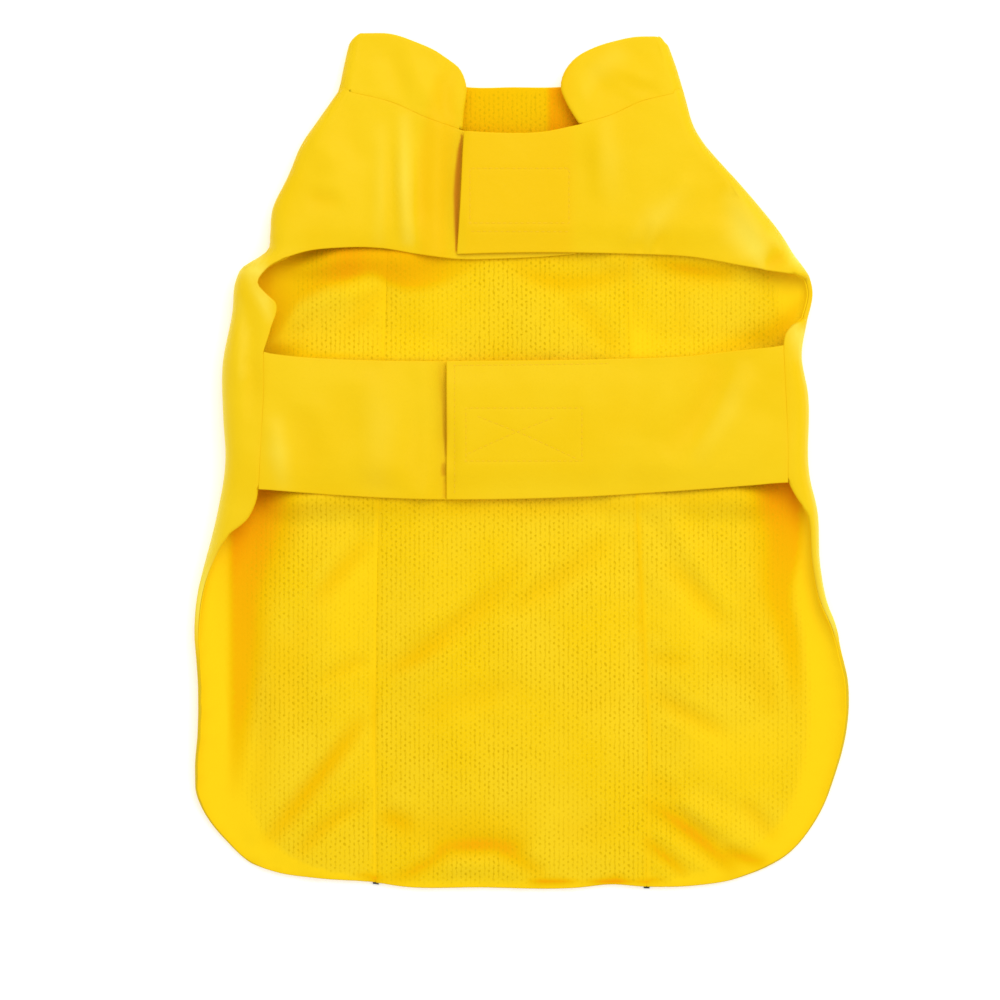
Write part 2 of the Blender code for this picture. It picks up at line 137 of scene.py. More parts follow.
# %% Tables of the side folds, seams and tabs
LEFT, RIGHT = -1, 1
WALL = 1.2  # one layer of shell or strap
LINING_DEPTH, LINING_WALL = 2.4, 0.7  # the lining lies that deep below the shell's outer face
TAPE = 1.0
GAP = 0.3
PIPING_WIDTH = 2.6
PIPING_END = 0.8
LINING_OVERLAP = 6
FOLD_LINE = 156
MIDDLE = (0.08, -0.22)


def table(names, *rows):
    """The rows of a table as named columns."""
    return dict(zip(names.split(), np.array(rows, float).T))


LEFT_FOLD = table(
    "y foot radius",
    (-201, 100, 40), (-190, 124, 36), (-180, 132, 32), (-168, 138, 28), (-157, 140.2, 24), (-147, 139.6, 22),
    (-126, 136.9, 20), (-105, 138.2, 18), (-85, 141.6, 14), (-65, 143.9, 9), (-53, 142.3, 8), (-37, 138, 8),
    (-23, 134.2, 8.5), (0, 130.3, 9), (20, 131.3, 9), (45, 131.6, 9), (70, 127, 9), (85, 125.3, 9), (90, 123.4, 8.7),
    (99, 111.4, 8), (106, 110.3, 8), (118, 109.8, 7.5), (134, 102.7, 7), (149, 96.9, 6.5), (164, 86.9, 6),
    (174, 80.7, 5.5), (185, 78.8, 5), (196, 76.8, 4.5), (202, 75.6, 4.5),
)
RIGHT_FOLD = table(
    "y foot radius",
    (-201, 90, 40), (-186, 119, 34), (-171, 130.5, 28), (-147, 137.2, 22), (-126, 141.1, 20), (-105, 141.6, 18),
    (-86, 139.7, 12), (-64, 136, 7), (-50, 133.5, 7), (-22, 131.8, 7), (-9, 128.7, 7), (32, 127.6, 7), (50, 124.7, 7),
    (65, 127.1, 7), (79, 130.2, 7), (86, 128.5, 7), (98, 120.2, 7), (105, 116, 7), (121, 104, 6.5), (132, 94.7, 6.3),
    (147, 81.4, 6), (155, 76.3, 5.8), (171, 71.4, 5.5), (185, 67.7, 5), (197, 64, 4.5), (202, 62.5, 4.5),
)
LEVEL = table("y height", (-60, 8.4), (-15, 8.2), (15, 8), (50, 8.2), (97, 8.6), (155, 8.8), (202, 9))
SEAMS = table(
    "y left right",
    (-201, 68.7, 58.8), (-122, 68.9, 59.2), (-65, 68.2, 56.5), (-30, 67.5, 54.2), (50, 64.8, 51), (165, 61, 49),
)
CLOSED_TABS = 3 * GAP + 2 * TAPE + WALL
TAB_DIP = 2.5
TAB_RISE = CLOSED_TABS - TAB_DIP
CHEST_FROM = 72  # what lies above this y belongs to the chest
TAB_FORM = {  # x where the chest's and the belly's dip or rise starts and is complete, and its height
    LEFT: ((-41, -30.6), (-47, -36), -TAB_DIP),
    RIGHT: ((48, 26), (58, 35), TAB_RISE),
}
STRAP_END = {LEFT: 34, RIGHT: -35.4}
CHEST_TAPE = ((-24.5, 22.5), (111.5, 137.5))
BELLY_TAPE = ((-26.5, 28.5), (0, 25))

# %% Tables of the edges, as (x, y), from the neck's front down to the raised rim
CHEST_EDGES = {
    LEFT: (
        ((-27.5, 155.3), (-10, 153.2), (25.5, 153.2)), ((25.5, 153.2), (25.5, 97.2)),
        (
            (25.5, 97.2), (13, 96.1), (-8, 95), (-31, 94.8), (-49, 97), (-65, 99.6), (-85, 99.9), (-101, 98.2),
            (-111.5, 95),
        ),
    ),
    RIGHT: (
        ((26.8, 158), (10, 154.7), (-10, 154.2), (-27.4, 155.1)),
        ((-27.4, 155.1), (-28, 146), (-28.4, 135), (-28.9, 124), (-29.8, 109), (-30.4, 97)),
        ((-30.4, 97), (-10, 97.6), (53, 97), (80, 95.6), (104, 91.4), (121.5, 88.4)),
    ),
}
LEFT_LEG = ((-111.5, 95), (-119.4, 90.4), (-123.8, 83.5), (-119.6, 78.2), (-115.2, 74), (-117.6, 62), (-121.1, 51.1))
RIGHT_SHOULDER = ((121.5, 88.4), (127.9, 87.4))
RIGHT_LEG = ((126.8, 63.6), (123.6, 59.2), (122.9, 54.2))
STRAP_SEAM = {
    LEFT: ((-121.1, 51.1), (-121, 36), (-122.3, 10), (-123.5, -13.4)),
    RIGHT: ((122.9, 54.2), (124, 31), (124.9, 10), (125, -10.2)),
}
FLAP = {
    LEFT: ((-123.5, -13.4), (-124.4, -18.5), (-128.6, -27.5), (-137.2, -34.5)),
    RIGHT: ((125, -10.2), (128, -16), (131.6, -21)),
}
STRAP = table(
    "x bottom top",
    (-124, -13.4, 51.2), (-108, -14.7, 49.2), (-87, -16.3, 47.9), (-45, -18.2, 47), (-13, -18.2, 47.2),
    (43, -16.3, 48), (75, -14.2, 49.2), (96, -12.7, 51.3), (125.5, -10.1, 54.3),
)
# Edges round a roll, as (turn in degrees, y).
RIM = {
    LEFT: ((180, -35), (154, -41.5), (123, -52), (92, -64), (75, -75), (65, -85)),
    RIGHT: ((180, -21.6), (152, -29), (141, -42), (132, -62), (108, -72), (80, -79), (60, -86)),
}
RIGHT_LEG_ROLL = ((176, 87.3), (125, 86), (88, 82), (80, 76), (88, 70), (125, 66.6), (180, 63.9))
HEM = (
    (-154.3, -85), (-152.9, -105), (-152.9, -126), (-154.3, -147), (-153.6, -157), (-148.5, -168), (-138, -180.5),
    (-129, -188.5), (-117, -193.3), (-96, -196.6), (-68.7, -198.6), (-57, -200.4), (-20, -200.9), (28, -200.9),
    (41, -199.5), (58.8, -200.6), (83, -199.9), (104, -196.1), (125.2, -185.8), (138.5, -170), (148.4, -147),
    (153.6, -126), (154.3, -105), (150.1, -86),
)
NECK = {
    "left front": ((-27.5, 155.3), (-44.8, 161.3), (-61.4, 168.5), (-76, 172.2)),
    "left roll": ((90, 173.4),),
    "left back": ((-76, 169.5), (-62, 161.5), (-40, 152.5), (-5, 146.5)),
    "right back": ((32, 151.5), (50, 158.5), (66.5, 169.2)),
    "right roll": ((90, 172.6),),
    "right front": ((70, 172.1), (57, 169.2), (42.2, 162.6), (26.8, 158)),
}
COLLAR_TOP = {
    "left front": (
        (-27.5, 155.3), (-26.8, 164), (-25.9, 176.4), (-28.8, 184), (-36.2, 190.3), (-48.8, 196.6), (-62, 200.8),
        (-73.4, 201), (-78.4, 199.9),
    ),
    "left roll": ((132, 199), (90, 196.4)),
    "left back": ((-73, 192.5), (-60, 186.5), (-44, 179.5), (-26, 176), (-4, 175.9)),
    "right back": ((18, 176), (33, 177.4), (46, 182.5), (58, 191.5)),
    "right roll": ((90, 195.8),),
    "right front": (
        (66.4, 198), (61, 199.5), (54, 199.3), (45, 197.6), (33.9, 194), (24.4, 188.6), (19.6, 182), (18.2, 175.4),
        (20.2, 169.5), (26.8, 158),
    ),
}

# %% Smooth curves through a table
EDGE_STEP = 2.4


def through(xs, ys, at):
    """A smooth curve through the points (xs, ys), read at the places in at."""
    run = np.diff(xs)
    rise = np.diff(ys) / run
    middle = (run[:-1] * rise[1:] + run[1:] * rise[:-1]) / (run[:-1] + run[1:])
    slope = np.concatenate([rise[:1], middle, rise[-1:]])
    k = np.clip(np.searchsorted(xs, at) - 1, 0, len(run) - 1)
    t = np.clip((at - xs[k]) / run[k], 0, 1)
    start = (1 + 2 * t) * (1 - t) ** 2 * ys[k] + t * (1 - t) ** 2 * run[k] * slope[k]
    end = (3 - 2 * t) * t**2 * ys[k + 1] - (1 - t) * t**2 * run[k] * slope[k + 1]
    return start + end


def read(rows, column, at):
    """A table's column, at these values of its first column."""
    return through(next(iter(rows.values())), rows[column], at)


def lengths(points):
    """The distance along a line to each of its points."""
    return np.concatenate([[0], np.cumsum(np.linalg.norm(np.diff(points, axis=0), axis=1))])


def rounded(knots):
    """Points about EDGE_STEP apart along a smooth curve through the knots."""
    knots = np.array(knots, float)
    length = lengths(knots)
    at = np.linspace(0, length[-1], max(2, round(length[-1] / EDGE_STEP) + 1))
    return np.stack([through(length, knots[:, 0], at), through(length, knots[:, 1], at)], axis=1)


def ease(t):
    """0 to 1, level at both ends."""
    t = np.clip(t, 0, 1)
    return t * t * (3 - 2 * t)


def bell(t):
    """1 at 0, falling to nothing a little past -1 and 1."""
    return np.exp(-(t**2))

# %% [markdown]
# ## Folding flat cloth
#
# On each side the cloth leaves the table at a foot, goes round a roll, and comes back over the coat as
# its belly side. One function carries any flat cut to its place, so shell, lining, tape and thread follow
# each other by themselves.

# %% The fold


def fold_at(on_left, y):
    """The side fold's foot and radius at y, on the left or on the right."""
    return [np.where(on_left, read(LEFT_FOLD, name, y), read(RIGHT_FOLD, name, y)) for name in ("foot", "radius")]


def belly_height(x, y):
    """The height of the belly side, from the tops of the rolls down to the level in the middle."""
    foot, radius = fold_at(x < 0, y)
    level = read(LEVEL, "height", y)
    return level + (2 * radius - level) * ease(np.abs(x) / foot)


def place(u, v, form):
    """Where the shell's outer face lies at (u, v) of the flat cut."""
    foot, radius = fold_at(u < 0, v)
    out = np.abs(u)
    turn = np.clip((out - foot) / (FOLD_LINE - foot), 0, 2) * math.pi / 2
    x = np.minimum(np.minimum(out, foot), 2 * FOLD_LINE - out) + radius * np.sin(turn)
    x = np.where(u < 0, LEFT, RIGHT) * x
    z = np.where(turn < math.pi, radius * (1 - np.cos(turn)), belly_height(x, v))
    return np.stack([x, v, z + form(x, v, turn)], axis=-1)


def fold(u, v, w, form, nudge=0.02):
    """Where the flat cut's (u, v, w) lies, w deep in the cloth, and which way is out there."""
    across = place(u + nudge, v, form) - place(u - nudge, v, form)
    along = place(u, v + nudge, form) - place(u, v - nudge, form)
    inward = np.cross(across, along)
    inward /= np.linalg.norm(inward, axis=-1, keepdims=True)
    return place(u, v, form) + w[:, None] * inward, -inward


def stretch(u, v):
    """Millimetres of cloth in each millimetre of u: the flat cut is drawn out or pressed in on a roll."""
    foot, radius = fold_at(u < 0, v)
    on_roll = (abs(u) > foot) & (abs(u) < 2 * FOLD_LINE - foot)
    return np.where(on_roll, radius * math.pi / 2 / (FOLD_LINE - foot), 1)


def cloth_across(u, v):
    """The true distance from the middle of the back to u, measured along the cloth."""
    foot, radius = fold_at(u < 0, v)
    out = abs(u)
    roll = np.clip(out - foot, 0, 2 * (FOLD_LINE - foot)) * radius * math.pi / 2 / (FOLD_LINE - foot)
    return np.sign(u) * (np.minimum(out, foot) + roll + np.maximum(out - 2 * FOLD_LINE + foot, 0))

# %% [markdown]
# ## Creases
#
# A crease in real cloth is a soft trough or ridge that is deepest near its middle and dies away at both
# ends, with a slight swelling on each side. Simulated cloth gives folds, but not these folds. Placing them
# needs only a line, a width, a depth and how much shade is painted in it, below zero a painted highlight.
# Between them, a few slow waves of random direction keep the cloth from looking machined.

# %% Creases and waves
# The last column of a crease is its painted shade, below zero a painted highlight.
CREASE = "x_from y_from x_mid y_mid x_to y_to half_width depth tone"
LINING_CREASES = table(
    CREASE,
    (-71, -117, -96, -150, -123, -184, 3.8, 2.4, 0.46), (-71, -161, -90, -170, -107, -188, 3.2, 1.3, 0.32),
    (-71, -92, -82, -97, -98, -106, 3.5, 0.8, 0.18), (-71, -36, -85, -52, -101, -71, 4.2, 1.2, 0.26),
    (-80, -28, -94, -50, -110, -78, 5, -1, -0.08), (-98, -70, -107, -96, -104, -132, 7, 0.8, 0.16),
    (6, -40, -23, -72, -64, -98, 4.6, 1.8, 0.22), (-32, -81, -50, -93, -68, -100, 4, 0.4, 0.28),
    (44, -34, 18, -55, -12, -73, 5.2, 1.3, 0.22), (-52, -123, -22, -111, 4, -105, 6, 0.8, 0.14),
    (20, -108, 34, -113, 48, -108, 7, 0.4, 0.1), (-68, -165, -60, -169, -50, -172, 5, 0.9, 0.42),
    (-64, -176, -28, -173, 8, -178, 8.5, 0.5, 0.28), (-46, -183, -21, -181, 6, -182, 4.6, 1.2, 0.6),
    (-34, -183, -47, -191, -63, -198, 3.4, 1, 0.52), (-12, -183, -1, -188, 12, -196, 3.8, 0.8, 0.42),
    (-38, -195, -26, -190, -14, -194, 4, -0.9, 0), (14, -170, 34, -174, 50, -164, 8, 0.3, 0.12),
    (56, -159, 80, -175, 104, -197, 4.6, 2.2, 0.62), (94, -182, 106, -187, 118, -190, 3.6, 1, 0.55),
    (56, -177, 67, -186, 79, -196, 2.9, 1.3, 0.55), (70, -157, 90, -168, 112, -182, 5, -1.3, -0.12),
    (102, -159, 111, -168, 121, -180, 4, 0.7, 0.2), (59, -108, 74, -117, 99, -130, 4, 1, 0.24),
    (59, -147, 67, -153, 77, -160, 3.4, 0.8, 0.22), (62, -18, 82, -46, 100, -78, 5, -1.3, -0.12),
    (66, -45, 82, -62, 100, -80, 5, 1, 0.2), (57, -91, 68, -94, 82, -95, 4, 0.6, 0.18),
    (86, -94, 104, -100, 122, -116, 7, 0.4, 0.14), (-112, -26, -126, -70, -130, -136, 8, 1.2, 0),
    (112, -22, 122, -64, 128, -110, 8, 1.2, 0), (-6, 94, 20, 84, 56, 91, 4.6, 1, 0.42),
    (19, 81, 34, 65, 49, 49, 4.6, 0.9, 0.2), (-86, 57, -75, 69, -63, 82, 5, 0.9, 0.2),
    (58, 95, 80, 89, 102, 87, 4.6, 0.8, 0.44), (77, 86, 75, 72, 77, 56, 5, 0.3, 0.1),
    (-115, 54, -98, 74, -58, 82, 5, -1.4, 0),
)
SHELL_CREASES = table(
    CREASE,
    (-57, 164, -56, 134, -53, 101, 3.6, -1.1, 0), (-62, 158, -66, 130, -68, 102, 4, -0.5, 0),
    (-61, 156, -61, 130, -60.5, 104, 2.6, 0.7, 0.05), (-46, 160, -47, 130, -47, 104, 4, 1, 0.06),
    (-101, 123, -93, 122, -84, 121, 4, 0.7, 0.14), (-80, 168, -82, 154, -78, 138, 6, 0.8, 0.06),
    (-92, 150, -88, 132, -84, 112, 7, -0.7, 0), (79, 134, 68, 119, 54, 101, 4.6, -0.9, 0),
    (60, 112, 57, 105, 54, 98, 2.6, 0.9, 0.1), (68, 108, 65, 103, 62, 98, 2.4, 0.6, 0.06),
    (37, 162, 39, 146, 36, 124, 6, -0.9, 0), (30, 156, 30, 140, 29, 120, 4, 0.5, 0.04),
    (100, 124, 110, 110, 116, 100, 5, -1.3, 0), (114, 90, 119.5, 94, 126, 99, 3.6, 1.2, 0.58),
    (82, 146, 90, 130, 97, 112, 7, 0.6, 0.04), (93, 46, 86, 24, 66, 3, 6.5, 1.3, 0.12),
    (108, 46, 98, 26, 82, 2, 6, -0.8, 0), (70, 36, 58, 20, 50, 4, 5, -0.5, 0),
    (-108, 24, -102, 10, -98, -8, 6, 0.8, 0.08), (-116, 18, -114, 4, -112, -10, 4, -0.9, 0),
    (-92, 42, -84, 20, -84, -10, 7, 0.5, 0.03), (-70, 44, -66, 18, -68, -12, 7, -0.6, 0),
    (-50, 40, -50, 16, -50, -12, 5, 0.6, 0.04), (-132, 80, -128, 62, -130, 42, 4, 1, 0.08),
    (-138, 66, -134, 50, -136, 30, 4, -0.7, 0), (-127, 50, -126, 36, -127, 18, 3, 0.8, 0.08),
    (-64, 192, -60, 182, -62, 172, 5, 0.8, 0.05), (-50, 188, -47, 177, -46, 166, 5, -0.8, 0),
    (-38, 180, -37, 171, -36, 160, 3.4, 0.8, 0.1), (38, 192, 46, 184, 60, 176, 5, -0.8, 0),
    (28, 186, 34, 178, 40, 168, 4, 0.6, 0.05), (48, 182, 54, 176, 66, 172, 3, 0.5, 0.05),
)
# On the hidden side, the cloth lifts a little off the table.
BACK_CREASES = table(
    CREASE,
    (-118, -150, -92, -128, -60, -112, 6, -1, 0), (-104, -172, -86, -160, -70, -154, 5, -0.7, 0),
    (-112, 20, -88, 44, -72, 78, 7, -0.9, 0), (-48, -176, -20, -168, 14, -172, 6, -0.9, 0),
    (-40, -60, -12, -38, 26, -26, 7, -1, 0), (-36, -44, -20, -30, 6, -22, 5, -0.6, 0),
    (-30, 96, 0, 104, 34, 98, 7, -0.8, 0), (18, 20, 30, 44, 34, 70, 6, -0.6, 0),
    (66, -172, 86, -150, 112, -136, 6, -1, 0), (72, -120, 92, -104, 118, -98, 6, -0.7, 0),
    (70, 66, 86, 40, 104, 18, 7, -0.9, 0), (62, 118, 70, 132, 72, 150, 5, -0.6, 0),
    (-84, 118, -74, 134, -70, 152, 5, -0.6, 0),
)


def nearest(path, x, y):
    """How far each point is from a path, and how far along the path its nearest place is, from 0 to 1."""
    path = np.asarray(path, float)
    start, run = path[:-1], np.diff(path, axis=0)
    length = np.maximum(np.linalg.norm(run, axis=1), 1e-9)
    before = np.concatenate([[0], np.cumsum(length)])[:-1]
    away, along = np.full(x.shape, np.inf), np.zeros(x.shape)
    for (x0, y0), (dx, dy), size, so_far in zip(start, run, length, before):
        t = np.clip(((x - x0) * dx + (y - y0) * dy) / size**2, 0, 1)
        distance = np.hypot(x - x0 - t * dx, y - y0 - t * dy)
        closer = distance < away
        away, along = np.where(closer, distance, away), np.where(closer, so_far + t * size, along)
    return away, along / length.sum()


def nearby(path, reach, x, y):
    """Which points are in reach of a path, and how far they are from it and along it."""
    (x0, y0), (x1, y1) = path.min(axis=0) - reach, path.max(axis=0) + reach
    near = (x > x0) & (x < x1) & (y > y0) & (y < y1)
    return near, *nearest(path, x[near], y[near])


def fading(along):
    """1 in the middle of a path, and 0 at its ends."""
    return np.clip(4 * along * (1 - along), 0, 1) ** 0.7


def crease_lines(rows):
    """Each crease of a table as a smooth line, with its half width, depth and painted shade."""
    t = np.linspace(0, 1, 9)[:, None]
    for x0, y0, x1, y1, x2, y2, half_width, depth, tone in zip(*rows.values()):
        bend = 2 * np.array([x1, y1]) - (np.array([x0, y0]) + np.array([x2, y2])) / 2
        yield (1 - t) ** 2 * (x0, y0) + 2 * t * (1 - t) * bend + t**2 * (x2, y2), half_width, depth, tone


def creased(rows):
    """The height of a table's creases."""

    def height(x, y):
        total = np.zeros(x.shape)
        for path, half_width, depth, _ in crease_lines(rows):
            near, away, along = nearby(path, 3.5 * half_width, x, y)
            trough = bell(away / half_width) - 0.3 * bell((away / half_width - 1.9) / 0.8)
            total[near] -= depth * trough * fading(along)
        return total

    return height


def painted_strokes(creases, *paths, power=2, share=1.0):
    """Painted shade, below zero a highlight: in some creases, and along paths of (x, y, half_width, painted shade)."""
    lines = [np.array(path, float) for path in paths]
    fade = share * fading(np.linspace(0, 1, 9))
    lines += [
        np.column_stack([path, np.full(9, half_width), tone * fade]) for path, half_width, _, tone in creases if tone
    ]

    def amount(x, y):
        clear = np.ones(x.shape)
        for line in lines:
            near, away, along = nearby(line[:, :2], 2.6 * line[:, 2].max(), x, y)
            length = lengths(line[:, :2])
            half_width, tone = (np.interp(along * length[-1], length, line[:, k]) for k in (2, 3))
            clear[near] *= 1 - tone * np.exp(-((away / half_width) ** power))
        return 1 - clear

    return amount


def waves(size, amount, seed, count=9):
    """Slow waves about that size, in random directions."""
    random = np.random.default_rng(seed)
    heading, phase = random.uniform(0, math.pi, count), random.uniform(0, 2 * math.pi, count)
    pace = 2 * math.pi / (size * random.uniform(0.7, 1.6, count))

    def height(x, y):
        total = np.zeros(x.shape)
        for a, p, k in zip(heading, phase, pace):
            total += np.sin(k * (x * np.cos(a) + y * np.sin(a)) + p)
        return total * amount / math.sqrt(count / 2)

    return height


lining_folds, shell_folds, back_folds = map(creased, (LINING_CREASES, SHELL_CREASES, BACK_CREASES))
slow, quick = waves(46, 0.30, 3), waves(21, 0.10, 5)
lining_slow, lining_quick = waves(38, 0.28, 11), waves(17, 0.13, 13)
seam_puckers = waves(8, 0.10, 17)

# %% [markdown]
# ## The form of each layer
#
# The shell follows the fold itself, and its closing tabs dip or rise where one lies over the other. The
# lining is a little larger than the shell, so it stands up in a low puff between its seams and carries
# most of the creases. These forms only ever lift or lower the cloth by a few millimetres.

# %% Forms
PUFF = table(
    "y height",
    (-198, 0), (-186, 0.8), (-150, 2.2), (-60, 2.4), (-28, 1), (10, 0.4), (48, 0.8), (72, 1.8), (96, 0.8), (130, 0.2),
    (145, 0),
)
PUFF_EDGE = 24
BANDS = (97, 47, -17)  # y of the chest's lower edge and of the strap's two edges
LEG_OPENING = (49, 95)  # y, between the strap and the chest
BELLY_END = -19  # below this y the lining lies open
CLEARANCE = 4  # how far the lining stays below the chest and the strap
CHEST_DROOP = table("y drop", (97, 2.6), (105, 1.9), (116, 0.5), (128, 0.1), (140, 0.7), (150, 1.9), (156, 2.5))
BELLY_DROOP = table("y drop", (-19, 2.5), (-10, 2.2), (-5, 1.4), (1, 2.1), (8, 1.4), (20, 0.7), (34, 0.1), (47, 0))


def droop(x, y):
    """How far a closed tab's free end hangs past its tape: less where it gapes."""
    chest = read(CHEST_DROOP, "drop", y) * ease((-24.8 - x) / 5)
    belly = read(BELLY_DROOP, "drop", y) * ease((-27 - x) / 7.5)
    return np.where(y > CHEST_FROM, chest, belly)


def hang(x, y):
    """How far the lower edges of the chest and the strap, and the strap's upper edge, hang down."""
    edges = ease((112 - y) / 15) * (y > CHEST_FROM) + ease((-1 - y) / 15) + 0.6 * ease((y - 34) / 13) * (y < CHEST_FROM)
    return 1.8 * edges * ease((114 - abs(x)) / 20)


def tabs(side, x, y, turn):
    """The closing tabs: the left ones dip under the right ones, which rise over them."""
    chest, belly, height = TAB_FORM[side]
    start, full = (np.where(y > CHEST_FROM, *places) for places in zip(chest, belly))
    rise = height * ease((x - start) / (full - start))
    if side == RIGHT:
        lowered = np.maximum(droop(x, y), hang(x, y))
    else:
        lowered = hang(x, y) * ease((start - x) / 12)
    return (rise - lowered) * (turn > math.pi / 2)


def shell_form(side):
    def form(x, y, turn):
        on_belly, on_back = ease(turn / math.pi * 2 - 1), 1 - ease(turn / math.pi * 2)
        held = 1 - 0.8 * ease((34 - abs(x)) / 14)  # tape holds the closed tabs flat
        top = (1.25 * shell_folds(x, y) + slow(x, y) + quick(x, y)) * held
        return tabs(side, x, y, turn) + on_belly * top + on_back * np.maximum(back_folds(x, y), 0)

    return form


def centre_form(x, y, turn):
    return np.maximum(back_folds(x, y), 0)


def level_form(x, y, turn):
    return np.zeros(x.shape)


def collar_form(x, y, turn):
    return np.where(x < 0, shell_form(LEFT)(x, y, turn), shell_form(RIGHT)(x, y, turn))


def from_seams(x, y):
    """The distance across to the nearer seam of the back."""
    return np.minimum(abs(x + read(SEAMS, "left", y)), abs(x - read(SEAMS, "right", y)))


def lining_rise(x, y):
    """How far the lining stands off the back: puffed between its seams, creased, and drawn up to the bands."""
    foot, _ = fold_at(x < 0, y)
    to_seam, to_fold, to_hem = from_seams(x, y), foot - abs(x), ease((y + 201) / 7)
    puff = read(PUFF, "height", y) * ease(to_seam / PUFF_EDGE) * ease(to_fold / PUFF_EDGE)
    dip = np.maximum(hang(x, y), TAB_DIP * (1 - ease((abs(x) - 38) / 11)))
    room = belly_height(x, y) - WALL - dip - CLEARANCE
    low, high = LEG_OPENING
    beyond = np.maximum(np.where(y > low, np.minimum(y - low, high - y), BELLY_END - y), 0)
    at_bands = sum(bell((y - edge) / 9) for edge in BANDS)
    puff = np.maximum(puff, at_bands * room * ease((to_fold - 6) / 24))
    loose = ease(to_seam / 4) * ease(to_fold / 10) * to_hem
    height = puff + loose * (1.2 * lining_folds(x, y) + lining_slow(x, y) + lining_quick(x, y))
    height = np.maximum(height, 0.25 * np.exp(4 * np.minimum(height - 0.25, 0)))  # the lining lies on the shell
    height = np.minimum(height, room + 0.45 + beyond)
    seam_dip = (0.28 + 0.12 * np.sin(y / 5.3)) * bell(to_seam / 2.2) * to_hem
    gathered = 2 * seam_puckers(x, y) * to_seam**2 / (to_seam**2 + 6) * bell(to_seam / 7)
    return (height - seam_dip + gathered) * ease(to_fold / 7)

# %% [markdown]
# ## Flat cuts
#
# Each piece starts as a closed outline in the flat, like a paper pattern, joined from the edges in the
# tables. Each point also knows whether it lies on a hem, where the shell is rolled over the lining's
# edge, or on a plain edge or seam, because they are finished in different ways.

# %% From places on the coat to the flat cut


def turned(side, places):
    """The flat cut's (u, v) of points (turn in degrees, y) on a side's roll."""
    degrees, y = np.array(places, float).T
    foot, _ = fold_at(side < 0, y)
    return np.stack([side * (foot + (FOLD_LINE - foot) * degrees / 90), y], axis=1)


def under(side, seen):
    """The flat cut's (u, v) of points (x, y) on the back, or on the lower half of a roll."""
    x, y = np.array(seen, float).T
    foot, radius = fold_at(side < 0, y)
    turn = np.arcsin(np.clip((side * x - foot) / radius, 0, 1))
    u = np.minimum(side * x, foot) + (FOLD_LINE - foot) * turn * 2 / math.pi
    return np.stack([side * u, y], axis=1)


def over(side, seen):
    """The same on the belly side, or on the upper half of a roll."""
    u, v = under(side, seen).T
    return np.stack([side * 2 * FOLD_LINE - u, v], axis=1)


def round_neck(edge):
    """The flat cut of an edge of the collar, from the left front round the back to the right front."""
    line = []
    for name, points in edge.items():
        side, part = name.split()
        cut = {"front": over, "roll": turned, "back": under}[part]
        line.append(cut({"left": LEFT, "right": RIGHT}[side], points))
    return rounded(np.concatenate(line))


points = rounded(HEM)
on_left = points[:, 0] < 0
hem_line = np.concatenate([under(LEFT, points[on_left]), under(RIGHT, points[~on_left])])
neck_line = round_neck(NECK)


def seam(side, offset):
    """A back seam in the flat cut, from the hem up to the neck, moved outwards by offset."""
    column = "left" if side == LEFT else "right"
    ends = []
    for line, y in ((hem_line, -200), (neck_line, 157)):
        line = line[abs(line[:, 0]) < 110]
        ends.append(np.interp(side * (read(SEAMS, column, y) + offset), *line.T))
    v = np.linspace(*ends, round((ends[1] - ends[0]) / EDGE_STEP))
    return np.stack([side * (read(SEAMS, column, v) + offset), v], axis=1)


def outside(line, side, corner):
    """The part of a line that lies further out on a side than a corner on it."""
    return line[side * (line[:, 0] - corner[0]) > 0.8]


def joined(*lines):
    """One closed outline from lines that follow each other, and the kind of edge at each of its points."""
    points = np.concatenate([line for line, _ in lines])
    kinds = np.concatenate([np.full(len(line), kind) for line, kind in lines])
    hemmed = kinds == "hem"
    kept = np.ones(len(points), bool)
    for k in sorted(range(len(points)), key=lambda k: not hemmed[k]):  # points on a hem come first
        for other in ((k + step) % len(points) for step in (1, -1, 2, -2)):
            apart = np.linalg.norm((points[k] - points[other]) * (stretch(*points[k : k + 1].T)[0], 1))
            if kept[k] and kept[other] and apart < EDGE_STEP * 0.45 and not (hemmed[other] and not hemmed[k]):
                kept[other] = False
    return points[kept], kinds[kept]


def inside(points, outline):
    """Whether each point lies inside the outline."""
    x, y = points[:, :1], points[:, 1:]
    (ax, ay), (bx, by) = outline.T, np.roll(outline, -1, 0).T
    crosses = (ay > y) != (by > y)
    with np.errstate(divide="ignore", invalid="ignore"):
        where = ax + (y - ay) * (bx - ax) / (by - ay)
    return np.sum(crosses & (x < where), axis=1) % 2 == 1

# %% The cuts
BESIDE_PIPING = (PIPING_WIDTH + GAP) / 2


def back_cut(lined):
    left, right = (seam(side, 0 if lined else -BESIDE_PIPING) for side in (LEFT, RIGHT))
    bottom = outside(outside(hem_line, RIGHT, left[0]), LEFT, right[0])
    top = outside(outside(neck_line, RIGHT, left[-1]), LEFT, right[-1])
    bottom = np.concatenate([right[:1], bottom[::-1], left[:1]])
    beside = "seam" if lined else "plain"
    return joined((left[1:], beside), (top, "seam"), (right[:0:-1], beside), (bottom, "hem"))


